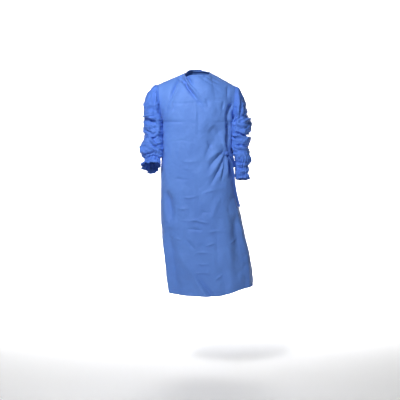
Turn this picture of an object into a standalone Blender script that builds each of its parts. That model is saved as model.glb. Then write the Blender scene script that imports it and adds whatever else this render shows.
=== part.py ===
"""Disposable surgical gown, worn and tied, as walls of cloth round an empty hollow.

Metres.  +X is the wearer's left, -Y the front, +Z up.  The origin is the middle of the neck
opening, where the wearer's neck and shoulders hold the gown up.  Every panel is a grid of
points: rows climb from the hem to the shoulders, columns run from the wearer's right to left.
"""
from collections import namedtuple

import bpy
import numpy as np

# ---- cloth
WALL = 0.0015            # thickness of a cloth wall
SEAM_GAP = 0.0004        # between two panels that meet at a seam
ARMHOLE_GAP = 0.0022     # between a panel's armhole edge and the sleeve set into it
LAYER_GAP = 0.0070       # between the middles of the two overlapping back flaps
BAND_LIFT = 0.0022       # from the middle of a panel to the middle of a band lying on it

# ---- the body of the gown: level sections, from the hem to the underarm
Section = namedtuple("Section", "z right_x left_x front_y back_y")
TRUNK = (
    Section(-1.178, -0.160, 0.280, 0.156, 0.150),     # hem
    Section(-1.080, -0.170, 0.269, 0.152, 0.146),
    Section(-0.970, -0.180, 0.253, 0.147, 0.140),
    Section(-0.780, -0.195, 0.222, 0.138, 0.128),
    Section(-0.650, -0.196, 0.204, 0.133, 0.119),
    Section(-0.560, -0.194, 0.195, 0.130, 0.114),
    Section(-0.430, -0.191, 0.187, 0.127, 0.110),     # waist, at the tie
    Section(-0.270, -0.188, 0.183, 0.128, 0.112),     # underarm
)
SECTION_POWER = 0.80     # 1 is an ellipse, less is boxier

# ---- shoulders, armholes and neck
SHOULDER_TIP = {"right": (-0.206, -0.073), "left": (0.197, -0.081)}     # x, z
NECK_CORNER = {"right": (-0.067, -0.013), "left": (0.069, -0.011)}      # x, z
NECK_FRONT = (0.079, -0.018)      # forward reach, drop below the neck corners
NECK_BACK = (0.066, 0.012)        # backward reach, rise above the neck corners
ARMHOLE_CUT = 0.42                # how far round the section an armhole reaches
SHOULDER_ROUND = 2.6              # how late the front turns over into the shoulder seam
BINDING_LEVEL = 0.982             # share of the yoke's height at the binding's lower edge
BINDING_WIDTH = 0.013

# ---- the back flaps: where their free edges lie, as a share of the way round the back
FreeEdge = namedtuple("FreeEdge", "z outer inner")
FREE_EDGES = (
    FreeEdge(-1.178, 0.93, 0.62),
    FreeEdge(-0.780, 0.93, 0.60),
    FreeEdge(-0.430, 0.91, 0.60),
    FreeEdge(-0.270, 0.76, 0.57),
    FreeEdge(-0.120, 0.62, 0.55),
    FreeEdge(0.000, 0.545, 0.545),
)
FLAP_LAP_START = 0.08    # share of the outer flap's width where it begins to rise over the other
FLAP_LAP_END = 0.36
FLARE = 0.026            # how far the outer flap's loose edge stands out at the hem
LOOSE_BELOW = -0.50      # height where that edge starts to stand out

# ---- the hem is drawn up at both sides: x where that starts, x where it is full, and how far
HEM_LIFTS = ((0.09, 0.27, 0.034), (-0.10, -0.16, 0.017))
HEM_LIFT_HEIGHT = 0.55   # how far up the skirt it fades out

# ---- largest folds: three points across the panel (x) and down it (z), half width and rise
Fold = namedtuple("Fold", "name x0 z0 x1 z1 x2 z2 half_width rise head")
FRONT_FOLDS = (
    Fold("neck pleat outer", -0.107, -0.046, -0.136, -0.125, -0.152, -0.180, 0.013, -0.006, 0.8),
    Fold("neck pleat inner", -0.085, -0.040, -0.043, -0.100, 0.020, -0.185, 0.014, -0.009, 1.0),
    Fold("neck pleat ridge", -0.092, -0.060, -0.063, -0.115, -0.010, -0.190, 0.015, 0.005, 0.5),
    Fold("neck dart", -0.046, -0.040, -0.034, -0.075, -0.022, -0.105, 0.010, -0.006, 1.0),
    Fold("armhole trough", 0.192, -0.190, 0.160, -0.260, 0.166, -0.410, 0.015, -0.012, 0.4),
    Fold("armhole ridge", 0.180, -0.250, 0.184, -0.320, 0.178, -0.390, 0.012, 0.005, 0.2),
    Fold("waist hollow", 0.096, -0.270, 0.090, -0.345, 0.110, -0.420, 0.036, -0.012, 0.2),
    Fold("waist ridge", 0.122, -0.300, 0.138, -0.360, 0.150, -0.420, 0.014, 0.006, 0.2),
    Fold("tie fold upper", 0.120, -0.436, 0.078, -0.482, 0.042, -0.535, 0.013, -0.008, 0.9),
    Fold("tie fold middle", 0.138, -0.450, 0.112, -0.520, 0.046, -0.625, 0.013, -0.009, 0.9),
    Fold("tie fold lower", 0.146, -0.452, 0.134, -0.520, 0.122, -0.600, 0.011, -0.007, 0.9),
    Fold("hip hollow", -0.168, -0.600, -0.163, -0.720, -0.150, -0.830, 0.022, -0.012, 0.1),
    Fold("right side crease", -0.174, -0.850, -0.150, -1.010, -0.128, -1.180, 0.013, 0.010, 0.1),
    Fold("hem sweep", -0.110, -0.940, -0.044, -1.030, 0.062, -1.185, 0.030, 0.009, 0.1),
    Fold("left side crease", 0.196, -0.720, 0.226, -0.880, 0.258, -1.160, 0.014, 0.009, 0.2),
)
BACK_FOLDS = (
    Fold("shoulder blade fall", -0.120, -0.150, -0.128, -0.400, -0.110, -0.760, 0.030, -0.012, 0.3),
    Fold("spine fall", -0.030, -0.120, -0.014, -0.500, 0.020, -1.180, 0.034, 0.012, 0.2),
    Fold("wrap pull", 0.150, -0.440, 0.060, -0.560, -0.060, -0.720, 0.030, -0.011, 0.8),
    Fold("seat fall", 0.110, -0.600, 0.130, -0.860, 0.160, -1.180, 0.032, -0.014, 0.2),
    Fold("right fall", -0.090, -0.700, -0.096, -0.940, -0.104, -1.180, 0.030, 0.013, 0.2),
)

# ---- sleeves: rings from the armhole to the frill, as distances from the gown's middle plane;
# the middle and half depth run front to back, the tilt lifts a ring's front edge
Ring = namedtuple("Ring", "inner_x inner_z outer_x outer_z middle_y half_depth tilt")
SLEEVE_RINGS = {
    "right": (
        Ring(0.190, -0.269, 0.207, -0.073, 0.000, 0.068, 0),       # armhole seam
        Ring(0.191, -0.273, 0.232, -0.085, 0.000, 0.073, 0),
        Ring(0.191, -0.278, 0.257, -0.113, 0.000, 0.078, 0),
        Ring(0.191, -0.284, 0.274, -0.142, 0.000, 0.082, 0),
        Ring(0.192, -0.290, 0.284, -0.180, 0.000, 0.084, 0),
        Ring(0.192, -0.298, 0.282, -0.222, -0.001, 0.085, 1),
        Ring(0.192, -0.310, 0.277, -0.243, -0.002, 0.078, 2),      # tuck
        Ring(0.192, -0.326, 0.285, -0.278, -0.004, 0.083, 3),
        Ring(0.193, -0.346, 0.285, -0.322, -0.007, 0.080, 5),
        Ring(0.193, -0.366, 0.275, -0.354, -0.012, 0.069, 8),      # elbow tuck
        Ring(0.194, -0.388, 0.294, -0.384, -0.020, 0.074, 13),
        Ring(0.194, -0.410, 0.306, -0.408, -0.029, 0.071, 18),
        Ring(0.196, -0.433, 0.299, -0.434, -0.038, 0.062, 22),
        Ring(0.201, -0.455, 0.286, -0.456, -0.047, 0.050, 26),
        Ring(0.208, -0.472, 0.277, -0.473, -0.055, 0.038, 29),     # gathered wrist
        Ring(0.206, -0.492, 0.290, -0.491, -0.064, 0.047, 35),
        Ring(0.205, -0.512, 0.297, -0.508, -0.073, 0.052, 40),     # frill
    ),
    "left": (
        Ring(0.186, -0.269, 0.198, -0.081, 0.000, 0.068, 0),       # armhole seam
        Ring(0.187, -0.273, 0.216, -0.093, 0.000, 0.073, 0),
        Ring(0.187, -0.278, 0.235, -0.126, 0.000, 0.078, 0),
        Ring(0.187, -0.283, 0.248, -0.158, 0.000, 0.081, 0),
        Ring(0.187, -0.288, 0.257, -0.192, 0.000, 0.083, 0),
        Ring(0.188, -0.294, 0.255, -0.222, -0.001, 0.078, 1),      # shoulder tuck
        Ring(0.188, -0.302, 0.274, -0.252, -0.001, 0.086, 2),
        Ring(0.188, -0.318, 0.285, -0.285, -0.003, 0.086, 3),
        Ring(0.189, -0.334, 0.282, -0.314, -0.005, 0.081, 4),
        Ring(0.189, -0.352, 0.264, -0.343, -0.009, 0.068, 5),      # elbow tuck
        Ring(0.190, -0.376, 0.279, -0.374, -0.015, 0.074, 7),
        Ring(0.194, -0.404, 0.264, -0.405, -0.024, 0.062, 9),      # tuck
        Ring(0.196, -0.430, 0.272, -0.430, -0.031, 0.062, 10),
        Ring(0.196, -0.468, 0.281, -0.470, -0.040, 0.060, 11),
        Ring(0.199, -0.490, 0.266, -0.491, -0.046, 0.044, 12),     # gathered wrist
        Ring(0.197, -0.520, 0.263, -0.520, -0.052, 0.042, 12),
        Ring(0.196, -0.545, 0.270, -0.545, -0.058, 0.046, 12),
        Ring(0.199, -0.570, 0.270, -0.569, -0.064, 0.045, 12),     # frill
    ),
}
SLEEVE_AROUND = 18

# ---- grids: how the panels are divided
TRUNK_ROWS = 15
YOKE_ROWS = 8
FRONT_SHOULDER_COLUMNS = 7
FRONT_NECK_COLUMNS = 10
BACK_SHOULDER_COLUMNS = 6
OUTER_COLUMNS = 13       # of the outer flap, past the shoulder seam
INNER_COLUMNS = 6        # of the inner flap, past the shoulder seam

# ---- ties
TIE_WIDTH = 0.019
TIE_WALL = 0.0012
KNOT = (0.152, -0.432)             # x, z of its middle on the front
KNOT_SIZE = (0.030, 0.016, 0.026)
KNOT_LIFT = 0.0125                 # from the front to the knot's middle
Station = namedtuple("Station", "x y z facing")        # facing: degrees from the front to +X
TAIL = (
    Station(0.160, -0.1120, -0.449, 30),
    Station(0.170, -0.1080, -0.468, 34),
    Station(0.179, -0.1000, -0.495, 36),
    Station(0.186, -0.0920, -0.535, 36),
    Station(0.190, -0.0860, -0.575, 36),
    Station(0.196, -0.0780, -0.620, 36),
    Station(0.208, -0.0660, -0.672, 36),
    Station(0.220, -0.0560, -0.718, 36),
)
SHORT_TAIL = (
    Station(0.168, -0.1000, -0.436, 40),
    Station(0.179, -0.0940, -0.446, 44),
    Station(0.186, -0.0850, -0.464, 48),
    Station(0.190, -0.0780, -0.486, 50),
    Station(0.191, -0.0740, -0.508, 50),
)
FLAP_TIE_STEPS = 9

BLUE = (0.118, 0.262, 0.730)
DEEP_BLUE = (0.062, 0.170, 0.640)
BAND_BLUE = (0.150, 0.310, 0.790)
TIE_BLUE = (0.030, 0.090, 0.420)


def clear_scene():
    """Remove the objects that a new scene starts with."""
    for item in list(bpy.data.objects):
        bpy.data.objects.remove(item, do_unlink=True)


def fabric(name, colour, roughness=0.62):
    """Matt nonwoven cloth of one colour."""
    material = bpy.data.materials.new(name)
    material.use_nodes = True
    shader = material.node_tree.nodes["Principled BSDF"]
    shader.inputs["Base Color"].default_value = (*colour, 1.0)
    shader.inputs["Roughness"].default_value = roughness
    shader.inputs["Metallic"].default_value = 0.0
    return material


def smooth_curve(at, knots, values):
    """Values between knots, on a curve that passes smoothly through each."""
    slopes = np.gradient(values, knots)
    last = len(knots) - 2
    index = np.clip(np.searchsorted(knots, at, side="right") - 1, 0, last)
    span = knots[index + 1] - knots[index]
    t = np.clip((at - knots[index]) / span, 0.0, 1.0)
    rise = values[index + 1] - values[index]
    start = slopes[index] * span
    end = slopes[index + 1] * span
    return values[index] + t * start + t**2 * (3 * rise - 2 * start - end) + t**3 * (start + end - 2 * rise)


def column(rows, name):
    """One named column of a table, as an array."""
    return np.array([getattr(row, name) for row in rows])


def soft_step(t):
    """0 to 1 with a level start and end."""
    t = np.clip(t, 0.0, 1.0)
    return t * t * (3.0 - 2.0 * t)


def turned(wave):
    """A sine or cosine, made boxier by the section's power."""
    return np.sign(wave) * np.abs(wave) ** SECTION_POWER


# ---- the body of the gown -----------------------------------------------------------------

HEM = TRUNK[0].z
UNDERARM = TRUNK[-1].z


def depth_name(facing):
    """The table column with the depth of the front (-1) or the back (+1)."""
    return "front_y" if facing < 0 else "back_y"


def angle_at(z, share, facing):
    """Angle round a level section, for shares of its length from the right seam to the left."""
    angles = np.linspace(-np.pi / 2, np.pi / 2, 241)
    knots = column(TRUNK, "z")
    half = (smooth_curve(z, knots, column(TRUNK, "left_x"))
            - smooth_curve(z, knots, column(TRUNK, "right_x"))) / 2
    depth = smooth_curve(z, knots, column(TRUNK, depth_name(facing)))
    x = half * turned(np.sin(angles))
    y = depth * turned(np.cos(angles))
    length = np.concatenate(([0.0], np.cumsum(np.hypot(np.diff(x), np.diff(y)))))
    return np.interp(share, length / length[-1], angles)


def trunk_point(z, share, facing):
    """Points of the level section at height z."""
    knots = column(TRUNK, "z")
    left = smooth_curve(z, knots, column(TRUNK, "left_x"))
    right = smooth_curve(z, knots, column(TRUNK, "right_x"))
    depth = smooth_curve(z, knots, column(TRUNK, depth_name(facing)))
    angle = angle_at(z, share, facing)
    x = (left + right) / 2 + (left - right) / 2 * turned(np.sin(angle))
    y = facing * depth * turned(np.cos(angle))
    low = soft_step(1.0 - (z - HEM) / HEM_LIFT_HEIGHT)
    lift = sum(height * soft_step((x - start) / (full - start)) for start, full, height in HEM_LIFTS)
    return np.stack([x, y, z + low * lift], axis=-1)


def top_edge(facing):
    """Dense points of the top edge, right shoulder tip to left, and the neck corners' shares."""
    reach, height = NECK_FRONT if facing < 0 else NECK_BACK
    t = np.linspace(0.0, 1.0, 61)
    right_tip = np.array([SHOULDER_TIP["right"][0], 0.0, SHOULDER_TIP["right"][1]])
    right_neck = np.array([NECK_CORNER["right"][0], 0.0, NECK_CORNER["right"][1]])
    left_neck = np.array([NECK_CORNER["left"][0], 0.0, NECK_CORNER["left"][1]])
    left_tip = np.array([SHOULDER_TIP["left"][0], 0.0, SHOULDER_TIP["left"][1]])
    turn = (t * np.pi - np.pi / 2)
    across = (np.sin(turn) + 1) / 2
    neckline = right_neck + (left_neck - right_neck) * across[:, None]
    neckline[:, 1] = facing * reach * np.cos(turn)
    neckline[:, 2] += height * np.cos(turn)
    parts = (right_tip + (right_neck - right_tip) * t[:, None], neckline[1:],
             left_neck + (left_tip - left_neck) * t[1:, None])
    points = np.concatenate(parts)
    length = np.concatenate(([0.0], np.cumsum(np.linalg.norm(np.diff(points, axis=0), axis=1))))
    share = length / length[-1]
    return points, share, share[60], share[120]


def yoke_point(level, share, facing):
    """Points above the underarm: level 0 is the underarm, 1 the shoulder seams and neckline."""
    edge, edge_share, _, _ = top_edge(facing)
    top = np.stack([np.interp(share, edge_share, edge[:, axis]) for axis in range(3)], axis=-1)
    base = trunk_point(UNDERARM, share, facing)
    angle = angle_at(UNDERARM, share, facing)
    depth = getattr(TRUNK[-1], depth_name(facing))
    squeeze = 1.0 - ARMHOLE_CUT * np.sqrt(level)
    section_y = depth * turned(np.cos(angle * squeeze))
    over = np.sqrt(max(0.0, 1.0 - level ** SHOULDER_ROUND))
    x = base[:, 0] + (top[:, 0] - base[:, 0]) * level
    y = facing * (section_y * over + np.abs(top[:, 1]) * (1.0 - over))
    z = base[:, 2] + (top[:, 2] - base[:, 2]) * level
    return np.stack([x, y, z], axis=-1)


def row_levels():
    """Heights of the trunk's rows, then levels of the yoke's rows."""
    heights = np.linspace(HEM, UNDERARM, TRUNK_ROWS + 1)
    climb = np.sin(np.linspace(0.0, 1.0, YOKE_ROWS) * np.pi / 2 * 0.86)[1:]
    return heights, np.concatenate((climb, [BINDING_LEVEL, 1.0]))


def body_grid(shares_at, facing):
    """Grid of a panel: shares_at(z) gives its columns' shares at a row's height."""
    heights, levels = row_levels()
    rows = [trunk_point(z, shares_at(z), facing) for z in heights]
    for level in levels:
        z = UNDERARM * (1.0 - level)
        rows.append(yoke_point(level, shares_at(z), facing))
    grid = np.array(rows)
    on_seam = np.abs(grid[:, :, 1]) < SEAM_GAP / 2
    grid[:, :, 1] = np.where(on_seam, facing * SEAM_GAP / 2, grid[:, :, 1])
    return grid, on_seam


def grid_normals(grid, outward, around=False):
    """Unit normals of a grid; around joins its first column to its last."""
    up = np.gradient(grid, axis=0)
    if around:
        along = (np.roll(grid, -1, axis=1) - np.roll(grid, 1, axis=1)) / 2
    else:
        along = np.gradient(grid, axis=1)
    normals = np.cross(along, up) * outward
    return normals / np.linalg.norm(normals, axis=-1, keepdims=True)


def fold_curve(fold):
    """Points along a fold: a smooth curve through its three."""
    t = np.linspace(0.0, 1.0, 33)[:, None]
    start = np.array([fold.x0, fold.z0])
    middle = np.array([fold.x1, fold.z1])
    end = np.array([fold.x2, fold.z2])
    control = 2 * middle - (start + end) / 2
    return (1 - t) ** 2 * start + 2 * t * (1 - t) * control + t ** 2 * end


def fold_rise(grid, folds):
    """How far each point of a panel is moved out by its folds."""
    rise = np.zeros(grid.shape[:2])
    flat = grid[:, :, (0, 2)]
    for fold in folds:
        curve = fold_curve(fold)
        gap = np.linalg.norm(flat[:, :, None, :] - curve, axis=-1)
        nearest = gap.argmin(axis=-1)
        t = nearest / (len(curve) - 1)
        fade_in = fold.head + (1 - fold.head) * soft_step(t / 0.35)
        fade_out = soft_step((1.0 - t) / 0.45)
        runs_out = fold.z2 < HEM
        strength = fade_in * (1.0 if runs_out else fade_out)
        rise += fold.rise * strength * np.exp(-(gap.min(axis=-1) / fold.half_width) ** 2)
    return rise


def seam_mask(grid, on_seam, sewn):
    """1 inside a panel, 0 at its seams, so that folds leave the seams in place."""
    mask = np.ones(grid.shape[:2])
    from_first = np.arange(grid.shape[1])
    if "first" in sewn:
        mask *= soft_step(from_first / 2.0)
    if "last" in sewn:
        mask *= soft_step(from_first[::-1] / 2.0)
    mask[on_seam] = 0.0
    near_top = np.zeros_like(on_seam)
    near_top[-3:-1] = on_seam[-1]
    mask[near_top] *= 0.3
    return mask


def panel_surface(shares_at, facing, folds, sewn):
    """Middle surface of a body panel and its normals; sewn names its joined side edges."""
    grid, on_seam = body_grid(shares_at, facing)
    normals = grid_normals(grid, 1.0 if facing < 0 else -1.0)
    normals[on_seam, 1] = 0.0
    normals /= np.linalg.norm(normals, axis=-1, keepdims=True)
    grid = grid + normals * (fold_rise(grid, folds) * seam_mask(grid, on_seam, sewn))[:, :, None]
    return grid, normals


def split_shares(first, corner, last, before, after):
    """Column shares that put one column exactly on the neck corner."""
    return np.concatenate((np.linspace(first, corner, before + 1), np.linspace(corner, last, after + 1)[1:]))


def free_edge(z, name):
    """Share of the way round the back where a flap ends at height z."""
    return smooth_curve(z, column(FREE_EDGES, "z"), column(FREE_EDGES, name))


def front_surface():
    """The front panel, with a column on each neck corner."""
    _, _, right_corner, left_corner = top_edge(-1)
    right_part = np.linspace(0.0, right_corner, FRONT_SHOULDER_COLUMNS + 1)
    neck_part = np.linspace(right_corner, left_corner, FRONT_NECK_COLUMNS + 1)[1:]
    left_part = np.linspace(left_corner, 1.0, FRONT_SHOULDER_COLUMNS + 1)[1:]
    shares = np.concatenate((right_part, neck_part, left_part))
    return panel_surface(lambda z: shares, -1, FRONT_FOLDS, ("first", "last"))


def inner_back_surface():
    """The wearer's left back flap: from its free edge to the left side seam."""
    _, _, _, corner = top_edge(1)

    def shares_at(z):
        start = 1.0 - free_edge(z, "inner")
        return split_shares(start, corner, 1.0, INNER_COLUMNS, BACK_SHOULDER_COLUMNS)

    return panel_surface(shares_at, 1, BACK_FOLDS, ("last",))


def outer_back_surface():
    """The wearer's right back flap, wrapped over the other, its loose edge flaring."""
    _, _, corner, _ = top_edge(1)

    def shares_at(z):
        return split_shares(0.0, corner, free_edge(z, "outer"), BACK_SHOULDER_COLUMNS, OUTER_COLUMNS)

    grid, normals = panel_surface(shares_at, 1, BACK_FOLDS, ("first",))
    rows, columns = grid.shape[:2]
    across = np.arange(columns) / (columns - 1)
    lapped = soft_step((across - FLAP_LAP_START) / (FLAP_LAP_END - FLAP_LAP_START))
    near_seam = soft_step((np.arange(rows) - (rows - 7)) / 5.0)
    past_corner = soft_step((np.arange(columns) - BACK_SHOULDER_COLUMNS) / 4.0)
    lift = lapped * (1.0 - near_seam[:, None] * (1.0 - past_corner))
    grid = grid + normals * (LAYER_GAP * lift)[:, :, None]
    loose = soft_step((LOOSE_BELOW - grid[:, :, 2]) / (LOOSE_BELOW - HEM)) * soft_step((across - 0.55) / 0.45)
    grid[:, :, 0] += FLARE * loose
    return grid, normals


# ---- sleeves --------------------------------------------------------------------------------

def armhole_point(turn, sign):
    """Armhole edge at an angle round it: 0 is the shoulder tip, 90 degrees the front."""
    level = (1 + np.cos(turn)) / 2
    facing = -1 if np.sin(turn) > 0 else 1
    share = np.array([0.0 if sign < 0 else 1.0])
    return yoke_point(level, share, facing)[0]


def sleeve_surface(side):
    """Middle surface of a sleeve: rings from the armhole to the open frill, and its normals."""
    sign = -1.0 if side == "right" else 1.0
    rings = SLEEVE_RINGS[side]
    knots = np.arange(len(rings), dtype=float)
    steps = np.linspace(0.0, knots[-1], int(knots[-1] * 1.5) + 1)
    values = {name: smooth_curve(steps, knots, column(rings, name).astype(float)) for name in Ring._fields}
    turns = np.arange(SLEEVE_AROUND) * 2 * np.pi / SLEEVE_AROUND
    grid = np.zeros((len(steps), SLEEVE_AROUND, 3))
    for row in range(len(steps)):
        ring = {name: values[name][row] for name in Ring._fields}
        middle_x = (ring["inner_x"] + ring["outer_x"]) / 2
        middle_z = (ring["inner_z"] + ring["outer_z"]) / 2
        half_x = (ring["outer_x"] - ring["inner_x"]) / 2
        half_z = (ring["outer_z"] - ring["inner_z"]) / 2
        tilt = np.radians(ring["tilt"])
        forward = np.sin(turns) * ring["half_depth"]
        grid[row, :, 0] = sign * (middle_x + half_x * np.cos(turns))
        grid[row, :, 1] = ring["middle_y"] - forward * np.cos(tilt)
        grid[row, :, 2] = middle_z + half_z * np.cos(turns) + forward * np.sin(tilt)
    edge = np.array([armhole_point(turn, sign) for turn in turns])
    grid[0] = edge + (sign * ARMHOLE_GAP, 0.0, 0.0)
    normals = grid_normals(grid, -sign, around=True)
    return grid, normals


# ---- solids ---------------------------------------------------------------------------------

def grid_solid(name, material, grid, normals, thickness, around=False):
    """A closed wall of even thickness on a grid of points."""
    rows, columns = grid.shape[:2]
    outer = grid + normals * thickness / 2
    inner = grid - normals * thickness / 2
    vertices = np.concatenate((outer.reshape(-1, 3), inner.reshape(-1, 3)))
    count = rows * columns

    def index(row, col, layer):
        return layer * count + row * columns + col % columns

    faces = []
    spans = columns if around else columns - 1
    for row in range(rows - 1):
        for col in range(spans):
            corners = [(row, col), (row, col + 1), (row + 1, col + 1), (row + 1, col)]
            places = [grid[r, c % columns] for r, c in corners]
            if np.linalg.norm(places[2] - places[0]) > np.linalg.norm(places[3] - places[1]):
                corners = corners[1:] + corners[:1]
            for half in (corners[:3], corners[2:] + corners[:1]):
                faces.append([index(r, c, 0) for r, c in half])
                faces.append([index(r, c, 1) for r, c in reversed(half)])
    for col in range(spans):
        faces.append([index(0, col, 1), index(0, col + 1, 1), index(0, col + 1, 0), index(0, col, 0)])
        top = rows - 1
        faces.append([index(top, col, 0), index(top, col + 1, 0), index(top, col + 1, 1), index(top, col, 1)])
    if not around:
        end = columns - 1
        for row in range(rows - 1):
            faces.append([index(row, 0, 0), index(row + 1, 0, 0), index(row + 1, 0, 1), index(row, 0, 1)])
            faces.append([index(row, end, 1), index(row + 1, end, 1), index(row + 1, end, 0), index(row, end, 0)])
    along = grid[0, 1] - grid[0, 0]
    up = grid[1, 0] - grid[0, 0]
    if np.dot(np.cross(along, up), normals[0, 0]) < 0:
        faces = [face[::-1] for face in faces]
    mesh = bpy.data.meshes.new(name)
    mesh.from_pydata(vertices.tolist(), [], faces)
    mesh.shade_smooth()
    mesh.materials.append(material)
    solid = bpy.data.objects.new(name, mesh)
    bpy.context.collection.objects.link(solid)
    return solid


def ribbon_solid(name, material, path, facing):
    """A flat strap along a path; facing is the outward direction of its face at each point."""
    along = np.gradient(path, axis=0)
    along /= np.linalg.norm(along, axis=1, keepdims=True)
    facing = facing - along * np.sum(facing * along, axis=1, keepdims=True)
    facing /= np.linalg.norm(facing, axis=1, keepdims=True)
    across = np.cross(along, facing) * TIE_WIDTH / 2
    grid = np.stack([path - across, path + across], axis=1)
    normals = np.stack([facing, facing], axis=1)
    return grid_solid(name, material, grid, normals, TIE_WALL)


def station_path(stations):
    """Path and facing directions of a table of strap stations."""
    path = np.array([(s.x, s.y, s.z) for s in stations])
    turn = np.radians([s.facing for s in stations])
    facing = np.stack([np.sin(turn), -np.cos(turn), np.zeros(len(stations))], axis=-1)
    return path, facing


def band_strip(surface, columns):
    """The neckline's top two rows of points, and their normals, at some of a panel's columns."""
    grid, normals = surface
    return grid[-2:, list(columns)], normals[-2:, list(columns)]


def shoulder_strip(surface, corner, step):
    """The band's one column on a shoulder seam: the neck corner and a point along the seam."""
    grid, normals = surface
    upper = grid[-1, corner] * (1.0, 0.0, 1.0)
    along = grid[-1, corner + step] * (1.0, 0.0, 1.0) - upper
    lower = upper + along * BINDING_WIDTH / np.linalg.norm(along)
    normal = normals[-1, corner + step]
    return np.stack([lower, upper])[:, None], np.stack([normal, normal])[:, None]


def build_binding(front, inner, outer):
    """Band round the neckline, from the inner flap's edge over the front to the outer flap's."""
    right = FRONT_SHOULDER_COLUMNS
    left = FRONT_SHOULDER_COLUMNS + FRONT_NECK_COLUMNS
    outer_corner = BACK_SHOULDER_COLUMNS
    strips = (
        band_strip(inner, range(0, INNER_COLUMNS + 1)),
        shoulder_strip(front, left, 1),
        band_strip(front, range(left, right - 1, -1)),
        shoulder_strip(front, right, -1),
        band_strip(outer, range(outer_corner, outer_corner + OUTER_COLUMNS + 1)),
    )
    normals = np.concatenate([strip[1] for strip in strips], axis=1)
    band = np.concatenate([strip[0] for strip in strips], axis=1) + normals * BAND_LIFT
    return grid_solid("neck_binding", fabric("binding", BAND_BLUE), band, normals, TIE_WALL)


def build_knot():
    """The knot of the two ties: a small rounded lump just off the front."""
    x, z = KNOT
    share = np.linspace(0.5, 1.0, 101)
    points = trunk_point(z, share, -1)
    y = np.interp(x, points[:, 0], points[:, 1]) - KNOT_LIFT
    bpy.ops.mesh.primitive_uv_sphere_add(segments=12, ring_count=8, radius=0.5, location=(x, y, z))
    knot = bpy.context.object
    knot.name = "tie_knot"
    knot.scale = KNOT_SIZE
    knot.rotation_euler = (0.0, 0.0, np.radians(35.0))
    bpy.ops.object.transform_apply(location=False, rotation=True, scale=True)
    knot.data.shade_smooth()
    knot.data.materials.append(fabric("knot", TIE_BLUE))
    return knot


def build_flap_tie():
    """The outer flap's tie: from its free edge round the wearer's left side to the knot."""
    z = KNOT[1]
    gap = 0.004
    back_shares = np.linspace(free_edge(z, "outer") + gap, 1.0, FLAP_TIE_STEPS // 2 + 1)
    front_shares = np.linspace(1.0, 0.915, FLAP_TIE_STEPS - FLAP_TIE_STEPS // 2)[1:]
    ring = np.concatenate((trunk_point(z, back_shares, 1), trunk_point(z, front_shares, -1)))
    along = np.gradient(ring, axis=0)
    outward = np.cross(along, (0.0, 0.0, -1.0))
    outward /= np.linalg.norm(outward, axis=1, keepdims=True)
    path = ring + outward * LAYER_GAP
    return ribbon_solid("tie_flap", fabric("flap tie", TIE_BLUE), path, outward)


def main():
    clear_scene()
    front = front_surface()
    inner = inner_back_surface()
    outer = outer_back_surface()
    grid_solid("front_panel", fabric("front cloth", BLUE), *front, WALL)
    grid_solid("back_panel_left", fabric("inner flap cloth", BLUE), *inner, WALL)
    grid_solid("back_panel_right", fabric("outer flap cloth", BLUE), *outer, WALL)
    for side in ("right", "left"):
        surface = sleeve_surface(side)
        grid_solid(f"sleeve_{side}", fabric(f"{side} sleeve cloth", DEEP_BLUE), *surface, WALL, around=True)
    build_binding(front, inner, outer)
    ribbon_solid("tie_front", fabric("front tie", TIE_BLUE), *station_path(TAIL))
    ribbon_solid("tie_short_tail", fabric("short tail", TIE_BLUE), *station_path(SHORT_TAIL))
    build_flap_tie()
    build_knot()


main()
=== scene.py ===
"""Looks of the worn surgical gown: creased nonwoven cloth on the forms of its solids.

Metres, but the tables of folds and of sleeve rings give their lengths in millimetres.  +X is the
wearer's left, -Y the front, +Z up.  The body's sections and the ties' routes are those of the
solids, and so are the sleeves' rings but for the left sleeve's lower ones, which keep clear of
the ties; the creases, seams and finish are made here.
"""
import math
from collections import namedtuple

import bpy
import numpy as np
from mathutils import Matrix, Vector, noise
from mathutils.bvhtree import BVHTree


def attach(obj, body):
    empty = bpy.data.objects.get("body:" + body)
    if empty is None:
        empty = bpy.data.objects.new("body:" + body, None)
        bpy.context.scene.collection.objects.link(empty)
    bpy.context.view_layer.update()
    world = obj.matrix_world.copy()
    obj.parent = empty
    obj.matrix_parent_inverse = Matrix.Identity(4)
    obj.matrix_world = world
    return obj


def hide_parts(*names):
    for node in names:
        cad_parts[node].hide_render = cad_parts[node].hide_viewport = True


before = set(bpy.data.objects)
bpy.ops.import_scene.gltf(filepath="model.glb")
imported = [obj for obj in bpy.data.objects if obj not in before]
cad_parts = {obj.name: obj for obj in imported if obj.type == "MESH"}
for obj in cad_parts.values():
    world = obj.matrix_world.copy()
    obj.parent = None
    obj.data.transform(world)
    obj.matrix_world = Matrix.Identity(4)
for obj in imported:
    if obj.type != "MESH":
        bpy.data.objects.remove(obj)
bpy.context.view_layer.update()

# ---- cloth
CLOTH = 0.0007           # thickness of the shown cloth
CELL = 0.0042            # spacing of the body cloth's grid
LAYER_GAP = 0.0070       # between the middles of the two overlapping back flaps
SHARPNESS = 1.7          # how steeply a crisp crease falls away, and how round its crest is
CREST = 0.12
FOLD_POINTS = 49         # points along a fold's line
FOLD_REACH = 3.2         # a fold is felt this many widths from its line
HEAD_SHARE = 0.35        # shares of a fold's length that its head and its tail take up
TAIL_SHARE = 0.45
SEAM_FADE = 0.030        # folds fade out this near a sewn side edge, and this near the shoulder
SHOULDER_FADE = 0.012

# soft unevenness of the body cloth: height, size, squeeze along each axis, seed
BODY_SWELLS = ((0.0034, 0.13, (1.0, 1.0, 0.55), 3.1), (0.0009, 0.034, (1.0, 1.0, 1.0), 7.7))
BODY_PUFFS = ((0.0016, 0.060, (1.0, 1.0, 0.7), 9.1), (0.0005, 0.022, (0.7, 1.0, 1.0), 4.3))

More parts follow.
